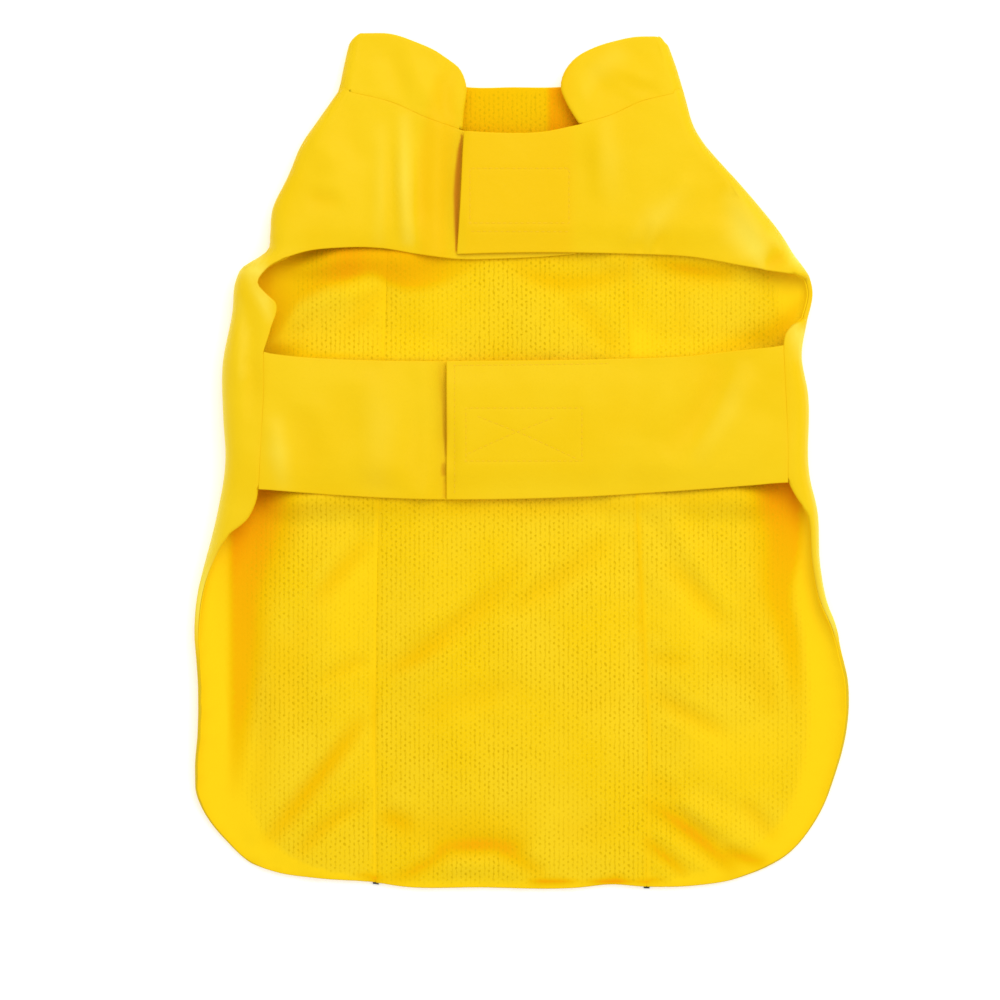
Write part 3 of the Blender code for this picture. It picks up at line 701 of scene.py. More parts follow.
def side_cut(side, lined):
    edge = seam(side, 0 if lined else BESIDE_PIPING)
    bottom = np.concatenate([outside(hem_line, side, edge[0])[::-side], edge[:1]])
    top = outside(neck_line, side, edge[-1])[::side]
    if lined:
        foot, _ = fold_at(side < 0, top[:, 1])
        top = top[side * top[:, 0] < 2 * FOLD_LINE - foot + LINING_OVERLAP]
        v = np.arange(CHEST_EDGES[side][-1][-1][1], top[-1, 1], EDGE_STEP)[::-1]
        foot, _ = fold_at(side < 0, v)
        chest = [np.stack([side * (2 * FOLD_LINE - foot + LINING_OVERLAP), v], axis=1)]
    else:
        chest = [over(side, rounded(line)) for line in CHEST_EDGES[side]]
    if side == LEFT:
        leg = [(over(side, rounded(LEFT_LEG)), "plain")]
    else:
        shoulder, rim, front = over(side, rounded(RIGHT_SHOULDER)), rounded(RIGHT_LEG_ROLL), rounded(RIGHT_LEG)
        leg = [(shoulder, "plain"), (turned(side, rim), "hem"), (over(side, front), "plain")]
    return joined(
        *((line, "plain") for line in chest),
        *leg,
        (over(side, rounded(STRAP_SEAM[side])), "seam"),
        (over(side, rounded(FLAP[side])), "hem"),
        (turned(side, rounded(RIM[side])), "hem"),
        (bottom, "hem"),
        (edge[1:], "seam" if lined else "plain"),
        (top, "seam"),
    )


def collar_cut():
    return joined((round_neck(COLLAR_TOP), "hem"), (neck_line[::-1], "seam"))


def strap_cut(side):
    x = np.linspace(side * 118, STRAP_END[side], 64)
    top, bottom = (np.stack([x, read(STRAP, edge, x)], axis=1) for edge in ("top", "bottom"))
    end = np.linspace(top[-1], bottom[-1], 28)[1:-1]
    lines = ((rounded(STRAP_SEAM[side][::-1]), "seam"), (top, "plain"), (end, "plain"), (bottom[::-1], "plain"))
    return joined(*((over(side, line), kind) for line, kind in lines))


def box_line(box):
    """The corners of a box and back to the first."""
    (left, right), (low, high) = box
    return (left, low), (right, low), (right, high), (left, high), (left, low)


def tape_cut(side, box):
    corners = box_line(box)
    lines = [np.linspace(a, b, max(3, round(math.dist(a, b) / EDGE_STEP) + 1)) for a, b in zip(corners, corners[1:])]
    return joined(*((over(side, line), "plain") for line in lines))


def piping_cut(side):
    outer, inner = (seam(side, sign * BESIDE_PIPING) for sign in (1, -1))
    for edge in (outer, inner):
        edge[0, 1] -= PIPING_END
    return joined((outer, "plain"), (inner[::-1], "plain"))

# %% [markdown]
# ## Filling a flat cut
#
# A grid of small triangles over the whole flat cut gives the creases something to bend. A Delaunay fill
# takes any points, so the fill is an even staggered grid, with finer rows of points along every line of
# stitches. The same flat fill makes both faces of the cloth.

# %% Points for the fill
GRID = 2.6


def stations(outline, grid):
    """A staggered grid inside a flat cut, even along the cloth, also round the rolls."""
    made = []
    low, high = outline.min(axis=0), outline.max(axis=0)
    for k, v in enumerate(np.arange(low[1] + 0.7, high[1], grid * 0.87)):
        for side in (LEFT, RIGHT):
            foot, radius = (float(x) for x in fold_at(side < 0, v))
            start = (k % 2) * grid / 2
            on_roll = max(4, round(math.pi * radius / grid))
            back = np.arange(start if side == RIGHT or start else grid, foot - grid / 2, grid)
            roll = foot + 2 * (FOLD_LINE - foot) * np.arange(on_roll + 1) / on_roll
            belly = 2 * FOLD_LINE - np.arange(start - 16 * grid, foot - grid / 2, grid)
            u = np.concatenate([back, roll, belly])
            made.append(np.stack([side * u, np.full(len(u), v)], axis=1))
    made = np.concatenate(made)
    made = made[np.all((made > low) & (made < high), axis=1)]
    return made[inside(made, outline)]


def along_rows(rows, grid=1.5):
    """Points on and beside each sewn row."""
    made = []
    for row in rows:
        length = lengths(row)
        at = np.linspace(0, length[-1], max(2, round(length[-1] / grid)))
        spot = np.stack([np.interp(at, length, row[:, k]) for k in (0, 1)], axis=1)
        run = np.gradient(spot, axis=0)
        run /= np.linalg.norm(run, axis=1, keepdims=True)
        side = np.stack([run[:, 1], -run[:, 0]], axis=1)
        made += [spot + side * away for away in (0, -0.8, 0.8, -1.7, 1.7)]
    return made


def distance_to(others, points):
    """How far each point is from the nearest of the others."""
    tree = KDTree(len(others))
    for k, (x, y) in enumerate(others):
        tree.insert((x, y, 0), k)
    tree.balance()
    return np.array([tree.find((x, y, 0))[2] for x, y in points])

# %% [markdown]
# ## The edge of a piece
#
# The edge is what makes cloth look sewn. A seam's or a tab's edge is turned in and pressed, so its two
# faces meet in a small half circle. At the hem the shell goes round the lining's edge and comes back over
# it, as a narrow rolled border. Both are short profiles, swept round the outline as rings of points, so a
# piece is one closed surface, with nothing left to weld.

# %% Edge profiles
HEM_INSET = 1.65
# How far out of the hem's foot the rolled border lies, and how deep below the shell's outer face.
HEM_PROFILE = table(
    "out depth",
    (0.8, 0.12), (1.28, 0.48), (1.56, 1), (1.65, 1.5), (1.6, 1.95), (1.44, 2.22), (1.15, 2.34), (0.8, 2.3),
    (0.5, 2.18), (0.34, 1.98), (0.3, 1.8), (0.32, 1.62), (0.34, 1.46), (0.24, 1.3),
)
RINGS = len(HEM_PROFILE["out"])
LINING_INSET, LINING_ROUND = 0.3, 0.35  # at the hem the lining lies on the shell's rolled edge, nearly to its end
SEAM_LAP, SEAM_ROUND, SEAM_GAP = 0.2, 0.3, 0.12
GROOVE = 0.62  # half the width of the groove that a row of stitches presses into the cloth


def lap(y):
    """How far two seamed pieces are pressed into each other: where less, the seam shows more."""
    return SEAM_LAP * (1 + 0.3 * np.sin(y / 6.1) * np.sin(y / 17.3 + 1))


def edge_ways(outline, hemmed):
    """At each point of an outline, the way out of it, and where a hem ends, the way on past its end."""
    step = np.roll(outline, -1, 0) - outline
    run = step * np.stack([stretch(*((outline + step / 2).T)), np.ones(len(outline))], axis=1)
    run /= np.linalg.norm(run, axis=1, keepdims=True)
    after = np.stack([run[:, 1], -run[:, 0]], axis=1)
    before = np.roll(after, 1, 0)
    way = (before + after) / np.maximum(1 + np.sum(before * after, axis=1), 0.5)[:, None]
    aside = np.zeros_like(way)
    starts, ends = hemmed & ~np.roll(hemmed, 1), hemmed & ~np.roll(hemmed, -1)
    way[starts], aside[starts] = after[starts], before[starts]
    way[ends], aside[ends] = before[ends], after[ends]
    return way, aside


def moved(points, by):
    """Points of a flat cut, moved by true millimetres."""
    u, v = points.T
    foot, radius = fold_at(u < 0, v)
    across = cloth_across(u, v) + by[:, 0]
    out, roll = abs(across), math.pi * radius
    on_roll = np.clip(out - foot, 0, roll) * 2 * (FOLD_LINE - foot) / roll
    out = np.minimum(out, foot) + on_roll + np.maximum(out - foot - roll, 0)
    return np.stack([np.sign(across) * out, v + by[:, 1]], axis=1)


def signed_area(line):
    """A closed outline's area, below zero if it runs clockwise."""
    (x, y), (next_x, next_y) = line.T, np.roll(line, -1, 0).T
    return np.sum(x * next_y - y * next_x) / 2

# %% [markdown]
# ## Sewing a piece
#
# `cloth` makes any piece of the coat: it fills the flat cut, sweeps the edge, folds all of it into place,
# and keeps the flat cut as the piece's UV map, so that weave and knit follow the cloth round every fold.
# A few numbers are stored on each point, such as how near it is to an edge and how much shade is painted on it.

# %% The flat fill


def filled(base, rows, detail, grid):
    """A flat cut's points and triangles, and which of the points are its rim."""
    fill = stations(base, grid)
    fine = along_rows([*rows, *detail])
    if fine:
        fine = np.concatenate(fine)
        fine = fine[inside(fine, base)]
        fine = fine[distance_to(base, fine) > 0.7]
        fill = np.concatenate([fine, fill[distance_to(np.concatenate([base, fine]), fill) > grid * 0.5]])
    else:
        fill = fill[distance_to(base, fill) > grid * 0.5]
    count = len(base)
    flat, _, triangles, origin, *_ = delaunay_2d_cdt(
        [*map(tuple, base), *map(tuple, fill)], [], [list(range(count))], 1, 1e-5
    )
    first = {source: k for k, inputs in enumerate(origin) for source in inputs}
    rim = np.array([first[k] for k in range(count)])
    return np.array(flat), np.array([face[::-1] for face in triangles]), rim  # seen from the shell's outer face


def as_mesh(name, spots, faces):
    """A smooth mesh of triangles, from points in millimetres."""
    mesh = bpy.data.meshes.new(name)
    mesh.vertices.add(len(spots))
    mesh.vertices.foreach_set("co", ((spots - (*MIDDLE, 0)) * MM).astype(np.float32).ravel())
    mesh.loops.add(faces.size)
    mesh.loops.foreach_set("vertex_index", faces.astype(np.int32).ravel())
    mesh.polygons.add(len(faces))
    mesh.polygons.foreach_set("loop_start", np.arange(0, faces.size, 3, dtype=np.int32))
    mesh.update(calc_edges=True)
    mesh.validate()
    mesh.shade_smooth()
    return mesh

# %% Cloth
sewn = {}


def cloth(
    name, cut, form, wall=WALL, depth=0.0, rows=(), detail=(), lift=None, marks={}, rolled=True,
    grid=GRID, edge=WALL / 2, gap=SEAM_GAP,
):
    """A piece of cloth from its flat cut.

    rows are stitched into it, the grid is finer along detail, and marks are numbers to store on it, by name.
    """
    outline, kinds = cut
    if signed_area(outline) < 0:
        outline, kinds = outline[::-1], kinds[::-1]
    hemmed, seamed = kinds == "hem", kinds == "seam"
    way, aside = edge_ways(outline, hemmed)
    outline = moved(outline, -way * np.where(seamed, -lap(outline[:, 1]), gap)[:, None] / 2)
    soft = np.where(seamed, min(edge, SEAM_ROUND), edge)
    if not rolled:
        soft = np.where(hemmed, LINING_ROUND, soft)
    inset = np.where(hemmed, HEM_INSET if rolled else LINING_INSET + LINING_ROUND, soft)[:, None]
    base = moved(outline, -way * inset - aside * 0.45)
    flat, triangles, rim = filled(base, rows, detail, grid)
    n, count = len(flat), len(base)

    def folded(places, w):
        u, v = places.T
        lifted = w if lift is None else w + lift(u, v) * np.clip(w / LINING_DEPTH, 0, 1)
        return fold(u, v, lifted, form)[0]

    groove = np.zeros(n)
    for row in rows:
        groove = np.maximum(groove, bell(nearest(row, *flat.T)[0] / GROOVE))
    spots = [folded(flat, depth + 0.14 * groove), folded(flat, depth + wall - 0.09 * groove)]
    flats, hem_shade_rings = [flat, flat], [np.zeros(2 * n)]
    for k in range(RINGS):
        angle = math.pi * (k + 1) / (RINGS + 1)
        out, w = soft * math.sin(angle), np.full(count, depth + wall / 2 * (1 - math.cos(angle)))
        if rolled:
            out[hemmed], w[hemmed] = HEM_PROFILE["out"][k], depth + HEM_PROFILE["depth"][k]
        # Past the end of a hem, the rolled edge runs on a little, and most at the bottom.
        past = np.where((outline[:, 1] < -150) & hemmed & rolled, 1.75, 0.4) * ease((w - 0.9) / 0.8)
        ring = moved(base, way * out[:, None] + aside * past[:, None])
        spots.append(folded(ring, w))
        flats.append(ring)
        # On the outer part of the rolled hem, towards the bottom, a painted shade line.
        hem_shade_rings.append(hemmed * rolled * ease((-85 - outline[:, 1]) / 15) * ease((out - 1.2) / 0.3))
    faces = [triangles, triangles[:, ::-1] + n]
    rings = [rim, *(2 * n + count * k + np.arange(count) for k in range(RINGS)), rim + n]
    for near, far in zip(rings, rings[1:]):
        after_near, after_far = np.roll(near, -1), np.roll(far, -1)
        faces += [np.stack([near, after_near, after_far], axis=1), np.stack([near, after_far, far], axis=1)]
    spots, flats, faces = np.concatenate(spots), np.concatenate(flats), np.concatenate(faces)

    mesh = as_mesh(name, spots, faces)
    across = np.stack([cloth_across(*flats.T), flats[:, 1]], axis=1) * MM
    mesh.uv_layers.new(name="cut").data.foreach_set("uv", across[faces.ravel()].astype(np.float32).ravel())
    from_edge = distance_to(outline, flats)
    seen = place(*flats.T, form)[:, 0]
    # Masks for painted shade: near every edge, and along the hem's rolled border.
    values = {"near_edge": bell(from_edge / 1.6), "hem_line": np.concatenate(hem_shade_rings)}
    values.update({label: mark(seen, flats[:, 1], flats[:, 0], from_edge) for label, mark in marks.items()})
    for label, value in values.items():
        mesh.attributes.new(label, "FLOAT", "POINT").data.foreach_set("value", value.astype(np.float32))
    true = np.stack([cloth_across(*outline.T), outline[:, 1]], axis=1) * MM
    size = true.max(axis=0) - true.min(axis=0)
    sewn[name] = (float(size[0]), float(size[1]), float(min(abs(signed_area(true)), size[0] * size[1])))
    print(f"{name}: {len(faces)} triangles, cut {size[0] * 1000:.0f} x {size[1] * 1000:.0f} mm")
    return set_out(name, mesh)

# %% [markdown]
# ## Patterns as node groups
#
# A weave, a knit or a mottled dye is used by more than one material, so each is a node group with named
# inputs, built once. A picture of cloth would blur close up. A pattern worked out from the cloth's own
# flat cut stays sharp, and keeps its true size. Sums in a node tree are hard to read, so a small class
# lets them be written as sums.

# %% Helpers for node trees


class Level:
    """A value that changes over a surface: arithmetic on it adds Math nodes."""

    def __init__(self, socket):
        self.socket, self.tree = socket, socket.id_data

    def math(self, operation, *values, clamp=False):
        node = self.tree.nodes.new("ShaderNodeMath")
        node.operation, node.use_clamp = operation, clamp
        for socket, value in zip(node.inputs, (self, *values)):
            feed(socket, value)
        return Level(node.outputs[0])

    def __add__(self, other):
        return self.math("ADD", other)

    def __sub__(self, other):
        return self.math("SUBTRACT", other)

    def __mul__(self, other):
        return self.math("MULTIPLY", other)

    def __truediv__(self, other):
        return self.math("DIVIDE", other)

    def times_plus(self, times, plus, clamp=False):
        return self.math("MULTIPLY_ADD", times, plus, clamp=clamp)

    def __rsub__(self, other):
        return self.times_plus(-1.0, other)


def feed(socket, value):
    """Wire a value into a socket, or set the socket to a constant."""
    if isinstance(value, Level):
        socket.id_data.links.new(value.socket, socket)
    else:
        socket.default_value = value


def node_of(tree, kind, inputs={}, output=0, **settings):
    """One output of a new node with these inputs and settings."""
    node = tree.nodes.new(kind)
    for label, value in settings.items():
        setattr(node, label, value)
    for label, value in inputs.items():
        feed(node.inputs[label], value)
    return Level(node.outputs[output])


def new_group(name, inputs, outputs):
    """A shader group's inputs by name, and a function that sets its outputs."""
    group = bpy.data.node_groups.new(name, "ShaderNodeTree")
    for label, value in inputs.items():
        kind = "NodeSocketVector" if value is None else "NodeSocketFloat"
        socket = group.interface.new_socket(name=label, in_out="INPUT", socket_type=kind)
        if value is not None:
            socket.default_value = value
    for label in outputs:
        group.interface.new_socket(name=label, in_out="OUTPUT", socket_type="NodeSocketFloat")
    given, put = group.nodes.new("NodeGroupInput").outputs, group.nodes.new("NodeGroupOutput").inputs
    return group, {label: Level(given[label]) for label in inputs}, lambda label, value: feed(put[label], value)


def apart(vector):
    """A vector's X and Y."""
    split = vector.tree.nodes.new("ShaderNodeSeparateXYZ")
    feed(split.inputs[0], vector)
    return Level(split.outputs["X"]), Level(split.outputs["Y"])


def step_up(value, low, high):
    """0 below low, 1 above high, and smooth between."""
    inputs = {0: value, 1: low, 2: high}
    return node_of(value.tree, "ShaderNodeMapRange", inputs, interpolation_type="SMOOTHSTEP")


def noise(vector, scale, detail=2.0, rough=0.5):
    inputs = {"Vector": vector, "Scale": scale, "Detail": detail, "Roughness": rough}
    return node_of(vector.tree, "ShaderNodeTexNoise", inputs, "Fac")

# %% Plain weave: warp and weft threads that pass over and under each other
weave, given, put = new_group("plain_weave", {"Cut": None, "Threads per metre": 2600.0}, ["Height"])
warp, weft = (across * given["Threads per metre"] for across in apart(given["Cut"]))
on_warp, on_weft = ((thread * math.pi).math("SINE").math("ABSOLUTE") for thread in (warp, weft))
which = (warp.math("FLOOR") + weft.math("FLOOR")).math("FLOORED_MODULO", 2.0)
put("Height", on_warp * which + on_weft * (1.0 - which))

# %% Sports mesh: staggered columns of small holes, joined by fine furrows, all of them uneven
knit_sizes = {"Cut": None, "Column pitch": 0.00219, "Hole pitch": 0.00282, "Hole size": 0.00052}
sports, given, put = new_group("sports_mesh", knit_sizes, ["Hole", "Fleck", "Height"])
cut, column_pitch, hole_pitch, hole_size = given.values()
across, along = apart(cut)
shift = (noise(cut, 420.0) - 0.5) * 0.0017
column = (across + shift) / column_pitch
nearest_column = column.math("ROUND")
staggered = (along - shift) / hole_pitch + nearest_column.math("FLOORED_MODULO", 2.0) * 0.5
off_across = (column - nearest_column) * column_pitch
off_along = (staggered - staggered.math("ROUND")) * hole_pitch * 0.72
reach = (off_across * off_across + off_along * off_along).math("SQRT")
fuzz = noise(cut, 1500.0, 2.0, 0.6)
hole = 1.0 - step_up(reach / (hole_size * fuzz.times_plus(0.9, 0.55)), 0.5, 1.35)
hole = hole * step_up(noise(cut, 210.0, 3.0, 0.65), 0.36, 0.62).times_plus(0.6, 0.4)
furrow = 1.0 - step_up(off_across.math("ABSOLUTE") / 0.00042, 0.2, 1.0)
drawn_out = node_of(sports, "ShaderNodeVectorMath", {0: cut, 1: (1.0, 0.28, 1.0)}, operation="MULTIPLY")
furrow = furrow * step_up(noise(drawn_out, 420.0, 2.0, 0.6), 0.38, 0.62) * 0.62
open_here = hole.math("MAXIMUM", furrow)
put("Hole", open_here.math("MAXIMUM", (fuzz - 0.42) * 0.55))
put("Fleck", (fuzz - 0.47).math("MULTIPLY", 2.2, clamp=True))
put("Height", fuzz * 0.5 - open_here)

# %% Mottling: the slow unevenness of a dyed and coated cloth, and the finest crumpling
mottle, given, put = new_group("mottling", {"Place": None, "Patches per metre": 20.0}, ["Tone", "Crumple"])
spot, patches = given.values()
put("Tone", step_up(noise(spot, patches, 3.0), 0.3, 0.7))
put("Crumple", noise(spot, patches * 5.0, 3.0, 0.55))

# %% [markdown]
# ## The finishes
#
# The shell is a polyester weave under a clear waterproof coating: smooth, with a soft wide gloss. The
# lining is a dull open knit, and the holes let the shadow below show through. Real holes would need
# hundreds of thousands of faces, so they are drawn as darker, sunken spots. All of the cloth has the same
# strong yellow, and each finish differs in weave, gloss and how its tone wanders.

# %% Colours and helpers for the finishes
# The shell's third colour is a painted shade for its edges.
SHELL_LIGHT, SHELL_DEEP, SHELL_EDGE_SHADE = (0.898, 0.603, 0.006, 1), (0.880, 0.570, 0.001, 1), (0.93, 0.50, 0.001, 1)
MESH_LIGHT, MESH_DEEP, MESH_SMOOTH = (0.93, 0.635, 0.010, 1), (0.92, 0.60, 0.001, 1), (0.99, 0.66, 0.006, 1)
MESH_HOLE, MESH_FLECK = (0.70, 0.44, 0.0, 1), (0.97, 0.70, 0.03, 1)
# Painted shade in creases, orange painted shade in folds and a painted shadow in the slits, a painted highlight on
# bulges, and a painted shade line along the hem.
PAINTED_CREASE_SHADE, PAINTED_FOLD_SHADE, PAINTED_SLIT_SHADOW = (0.905, 0.535, 0.0, 1), (0.95, 0.25, 0.0, 1), (0.60, 0.22, 0.0, 1)
PAINTED_HIGHLIGHT, PAINTED_HEM_SHADE = (0.97, 0.82, 0.10, 1), (0.50, 0.40, 0.02, 1)


def placed(tree, group, **values):
    """A group's outputs in a material, with its own values."""
    node = tree.nodes.new("ShaderNodeGroup")
    node.node_tree = group
    for label, value in values.items():
        feed(node.inputs[label.replace("_", " ")], value)
    return {socket.name: Level(socket) for socket in node.outputs}


def cut_map(tree):
    return node_of(tree, "ShaderNodeUVMap", output="UV", uv_map="cut")


def stored(tree, name):
    return node_of(tree, "ShaderNodeAttribute", output="Fac", attribute_name=name)


def where_it_lies(tree):
    return node_of(tree, "ShaderNodeTexCoord", output="Object")


def blend(share, one, other):
    return node_of(share.tree, "ShaderNodeMix", {0: share, 6: one, 7: other}, 2, data_type="RGBA")


def with_painted_shading(colour):
    """Painted highlights on bulges, painted shade in creases, and orange painted shade deep in folds."""
    tone = stored(colour.tree, "tone")
    deep = blend(tone.math("MULTIPLY", 2.5, clamp=True), colour, PAINTED_CREASE_SHADE)
    deep = blend(tone.times_plus(1.667, -0.667, clamp=True), deep, PAINTED_FOLD_SHADE)
    return blend(tone.math("MULTIPLY", -1.0, clamp=True), deep, PAINTED_HIGHLIGHT)


def bump(height, distance, strength=1.0, below=None):
    inputs = {"Distance": distance, "Strength": strength, "Height": height}
    return node_of(height.tree, "ShaderNodeBump", inputs | ({"Normal": below} if below else {}), "Normal")

# %% Shell
shell_cloth, tree, sockets = new_material("coated_shell_cloth", 0.44, 0.09)
tones = placed(tree, mottle, Place=where_it_lies(tree), Patches_per_metre=1 / 0.06)
colour = blend(tones["Tone"], SHELL_DEEP, SHELL_LIGHT)
# Painted shade near the edges, the painted shading, painted shadows in the slits and a painted shade line at the hem.
colour = with_painted_shading(blend(stored(tree, "near_edge") * 0.12, colour, SHELL_EDGE_SHADE))
colour = blend(stored(tree, "painted_slit_shadow"), colour, PAINTED_SLIT_SHADOW)
feed(sockets["Base Color"], blend(stored(tree, "hem_line") * 0.45, colour, PAINTED_HEM_SHADE))
feed(sockets["Roughness"], tones["Crumple"].times_plus(0.16, 0.36))
threads = placed(tree, weave, Cut=cut_map(tree), Threads_per_metre=2400.0)["Height"]
feed(sockets["Normal"], bump(threads, 0.00003, 0.5, bump(tones["Crumple"], 0.0009, 0.35)))

# %% Mesh lining
mesh_cloth, tree, sockets = new_material("mesh_lining_cloth", 0.8, 0.05)
tones = placed(tree, mottle, Place=where_it_lies(tree), Patches_per_metre=1 / 0.045)
knitted = placed(tree, sports, Cut=cut_map(tree))
openness = stored(tree, "open_knit")
colour = blend(knitted["Fleck"], blend(tones["Tone"], MESH_DEEP, MESH_LIGHT), MESH_FLECK)
colour = blend(step_up(openness, 0.1, 0.7), MESH_SMOOTH, colour)
# Painted shade along the edges and seams; the drawn holes fade out where painted shade is deep.
colour = blend(stored(tree, "near_edge") * 0.3, colour, PAINTED_CREASE_SHADE)
hole = knitted["Hole"] * openness * stored(tree, "tone").times_plus(-1.4, 1.4, clamp=True)
feed(sockets["Base Color"], blend(hole, with_painted_shading(colour), MESH_HOLE))
relief = bump(tones["Crumple"], 0.0008, 0.35)
feed(sockets["Normal"], bump(knitted["Height"] * openness, 0.00022, 0.5, relief))

# %% Tape, piping and thread
tape_cloth, tree, sockets = new_material("hook_and_loop_tape", 0.9, 0.2)
fuzz = noise(where_it_lies(tree), 2600.0, 3.0, 0.7)
feed(sockets["Base Color"], blend(fuzz, (0.60, 0.36, 0.004, 1), (0.93, 0.60, 0.01, 1)))
feed(sockets["Normal"], bump(fuzz, 0.0005, 0.8))

piping_cloth, tree, sockets = new_material("dark_piping_cloth", 0.5)
threads = placed(tree, weave, Cut=cut_map(tree), Threads_per_metre=1800.0)["Height"]
feed(sockets["Base Color"], blend(threads, (0.010, 0.010, 0.011, 1), (0.045, 0.045, 0.048, 1)))
feed(sockets["Normal"], bump(threads, 0.00006, 0.7))

thread_finish, tree, sockets = new_material("yellow_thread", 0.55, 0.35)
twist = noise(where_it_lies(tree), 5200.0, 1.0)
feed(sockets["Base Color"], blend(twist, (0.88, 0.54, 0.003, 1), (0.95, 0.63, 0.01, 1)))
feed(sockets["Normal"], bump(twist, 0.0001, 0.5))

# %% [markdown]
# ## Sewn rows
#
# Rows of stitches hold the tapes, the tab ends and the piping. A row is just a line on a piece's flat
# cut. The cloth is pressed in along it, and the thread is laid in the groove afterwards, so the rows come
# first, as short lists of corners.

# %% The rows
CHEST_BOX = box_line(((-24.3, 22.2), (111.7, 137.4)))
BELLY_BOX = box_line(((-26.2, 28.3), (-0.1, 24.8)))
BELLY_CROSS = (((-24.5, 3.7), (-5, 12.5), (14.2, 20)), ((-20, 20.6), (2, 12), (24.6, 1.5)))
PIPING_ROW = PIPING_WIDTH / 2 + 2  # from a seam's middle to the stitches on both sides of its piping


def line_of(corners, step=1.6):
    """Points along straight runs between corners."""
    runs = [np.linspace(a, b, max(2, round(math.dist(a, b) / step) + 1)) for a, b in zip(corners, corners[1:])]
    return np.concatenate([runs[0], *(run[1:] for run in runs[1:])])


x = np.linspace(-31.5, 40, 45)
strap_top = np.stack([x, read(STRAP, "top", x) - 2.2], axis=1)
strap_end = line_of((strap_top[0], (-31.5, -14.5)))
rows_on = {
    "shell_right": [over(RIGHT, line_of(CHEST_BOX)), over(RIGHT, line_of(((-23, 107.8), (21, 107.6))))],
    "shell_left": [over(LEFT, line_of(CHEST_BOX))],
    "strap_right": [over(RIGHT, row) for row in (*map(line_of, (BELLY_BOX, *BELLY_CROSS)), strap_top, strap_end)],
    "strap_left": [over(LEFT, line_of(BELLY_BOX))],
    "shell_centre": [],
}
for side, name in ((LEFT, "shell_left"), (RIGHT, "shell_right")):
    rows_on[name].append(seam(side, PIPING_ROW)[2:-2])
    rows_on["shell_centre"].append(seam(side, -PIPING_ROW)[2:-2])
print("rows:", {name: len(rows) for name, rows in rows_on.items()})

# %% [markdown]
# ## Where the knit is open and where shade is painted
#
# The mesh is open in the middle of the lining and closes up towards its edges, where it was fused and
# turned. Shade is painted into the colour, deeper and almost orange, inside folds and under the straps,
# standing in for light that has bounced off several layers. Both are stored on the cloth, as numbers on each point.
# The first comes from the distance to the edges, the second from the creases and a few soft strokes.

# %% Openness
# x where the open knit ends, at the left and at the right.
KNIT_EDGE = table(
    "y left right",
    (-200, -60, 60), (-192, -96, 92), (-180, -118, 114), (-165, -129, 126), (-145, -134, 133), (-120, -134, 137),
    (-85, -134, 134), (-50, -131, 128), (-15, -124, 126), (40, -121, 123), (62, -112, 124), (85, -108, 120),
    (100, -100, 112),
)


def lining_knit(x, y, u, from_edge):
    left, right = (read(KNIT_EDGE, side, y) for side in ("left", "right"))
    inside_edge = ease((x - left) / 9 + 0.3) * ease((right - x) / 9 + 0.3)
    centre = (x > -read(SEAMS, "left", y)) & (x < read(SEAMS, "right", y))
    patch = 0.80 + 0.20 * waves(60, 1.0, 21)(x, y)
    return np.clip(inside_edge * ease((from_edge - 0.5) / 2) * np.where(centre, 1.0, 0.85) * patch, 0, 1)


def centre_knit(x, y, u, from_edge):
    patch = 0.85 + 0.15 * waves(60, 1.0, 22)(x, y)
    return np.clip(ease((y + 199.5) / 3) * patch, 0, 1)


def collar_knit(x, y, u, from_edge):
    return ease((abs(u) < 90) * (from_edge - 1) / 3)

# %% Painted shade in the lining, in strokes: each is a path of (x, y, half_width, painted shade)
lining_painted_strokes = painted_strokes(
    crease_lines(LINING_CREASES),
    (
        (84, 51, 2.5, 0.15), (96, 54, 4, 0.26), (106, 57, 5, 0.36), (116, 60, 6, 0.45), (125, 66, 5, 0.36),
        (134, 76, 3, 0.16),
    ),
    ((-28, 95, 3, 0.12), (0, 95, 3, 0.1), (50, 95, 3, 0.14), (98, 90, 4, 0.2), (118, 86, 3, 0.05)),
    ((-117, 53, 3, 0.4), (-104, 50, 2.4, 0.4), (-88, 49, 2, 0.35), (-60, 48, 1.5, 0.1)),
    ((-106, -18, 3, 0.15), (-44, -22, 4, 0.16), (4, -23, 5, 0.22), (46, -21, 4, 0.16), (106, -16, 4, 0.2)),
    ((-116, -84, 5, 0.12), (-117, -112, 6, 0.16), (-123, -150, 6, 0.1)),
    ((107, -58, 6, 0.12), (112, -85, 6, 0.16), (117, -114, 6, 0.12)),
    # Dark lines along two stretches of the back seams.
    ((-69.5, -100, 1.6, 0.1), (-69.5, -120, 1.6, 0.25), (-69.5, -138, 1.6, 0.05)),
    ((55, -28, 1.5, 0.15), (56, -75, 1.5, 0.3), (58, -128, 1.5, 0.1)),
    # Painted shadows in the puckers along the hem.
    ((3, -198, 1.5, 0.3), (10, -198, 1.8, 0.7), (21, -198, 1.6, 0.6), (27, -198, 1, 0.2)),
    ((31, -198, 1.5, 0.3), (38, -198, 1.8, 0.7), (45, -197.5, 2.2, 0.8), (54, -198, 1.3, 0.3)),
    ((56, -198, 1.5, 0.5), (62, -198, 1.6, 0.7), (68, -198, 1.2, 0.2)),
    ((-76, -195, 1.5, 0.3), (-70, -196.5, 2, 0.7), (-62, -197.5, 1.5, 0.3)),
)
# In the caves under the strap's ends, the peak of the painted shade and how far in it reaches.
LEFT_CAVE_SHADE = table(
    "y peak width",
    (-160, 0, 8), (-138, 0.32, 12), (-118, 0.5, 17), (-90, 0.54, 23), (-62, 0.6, 27), (-38, 0.67, 38),
    (-15, 0.68, 48), (5, 0.64, 50),
)
RIGHT_CAVE_SHADE = table(
    "y peak width",
    (-126, 0, 7), (-112, 0.2, 10), (-96, 0.38, 14), (-75, 0.44, 20), (-50, 0.52, 28), (-35, 0.58, 32),
    (-14, 0.76, 37), (5, 0.74, 38),
)
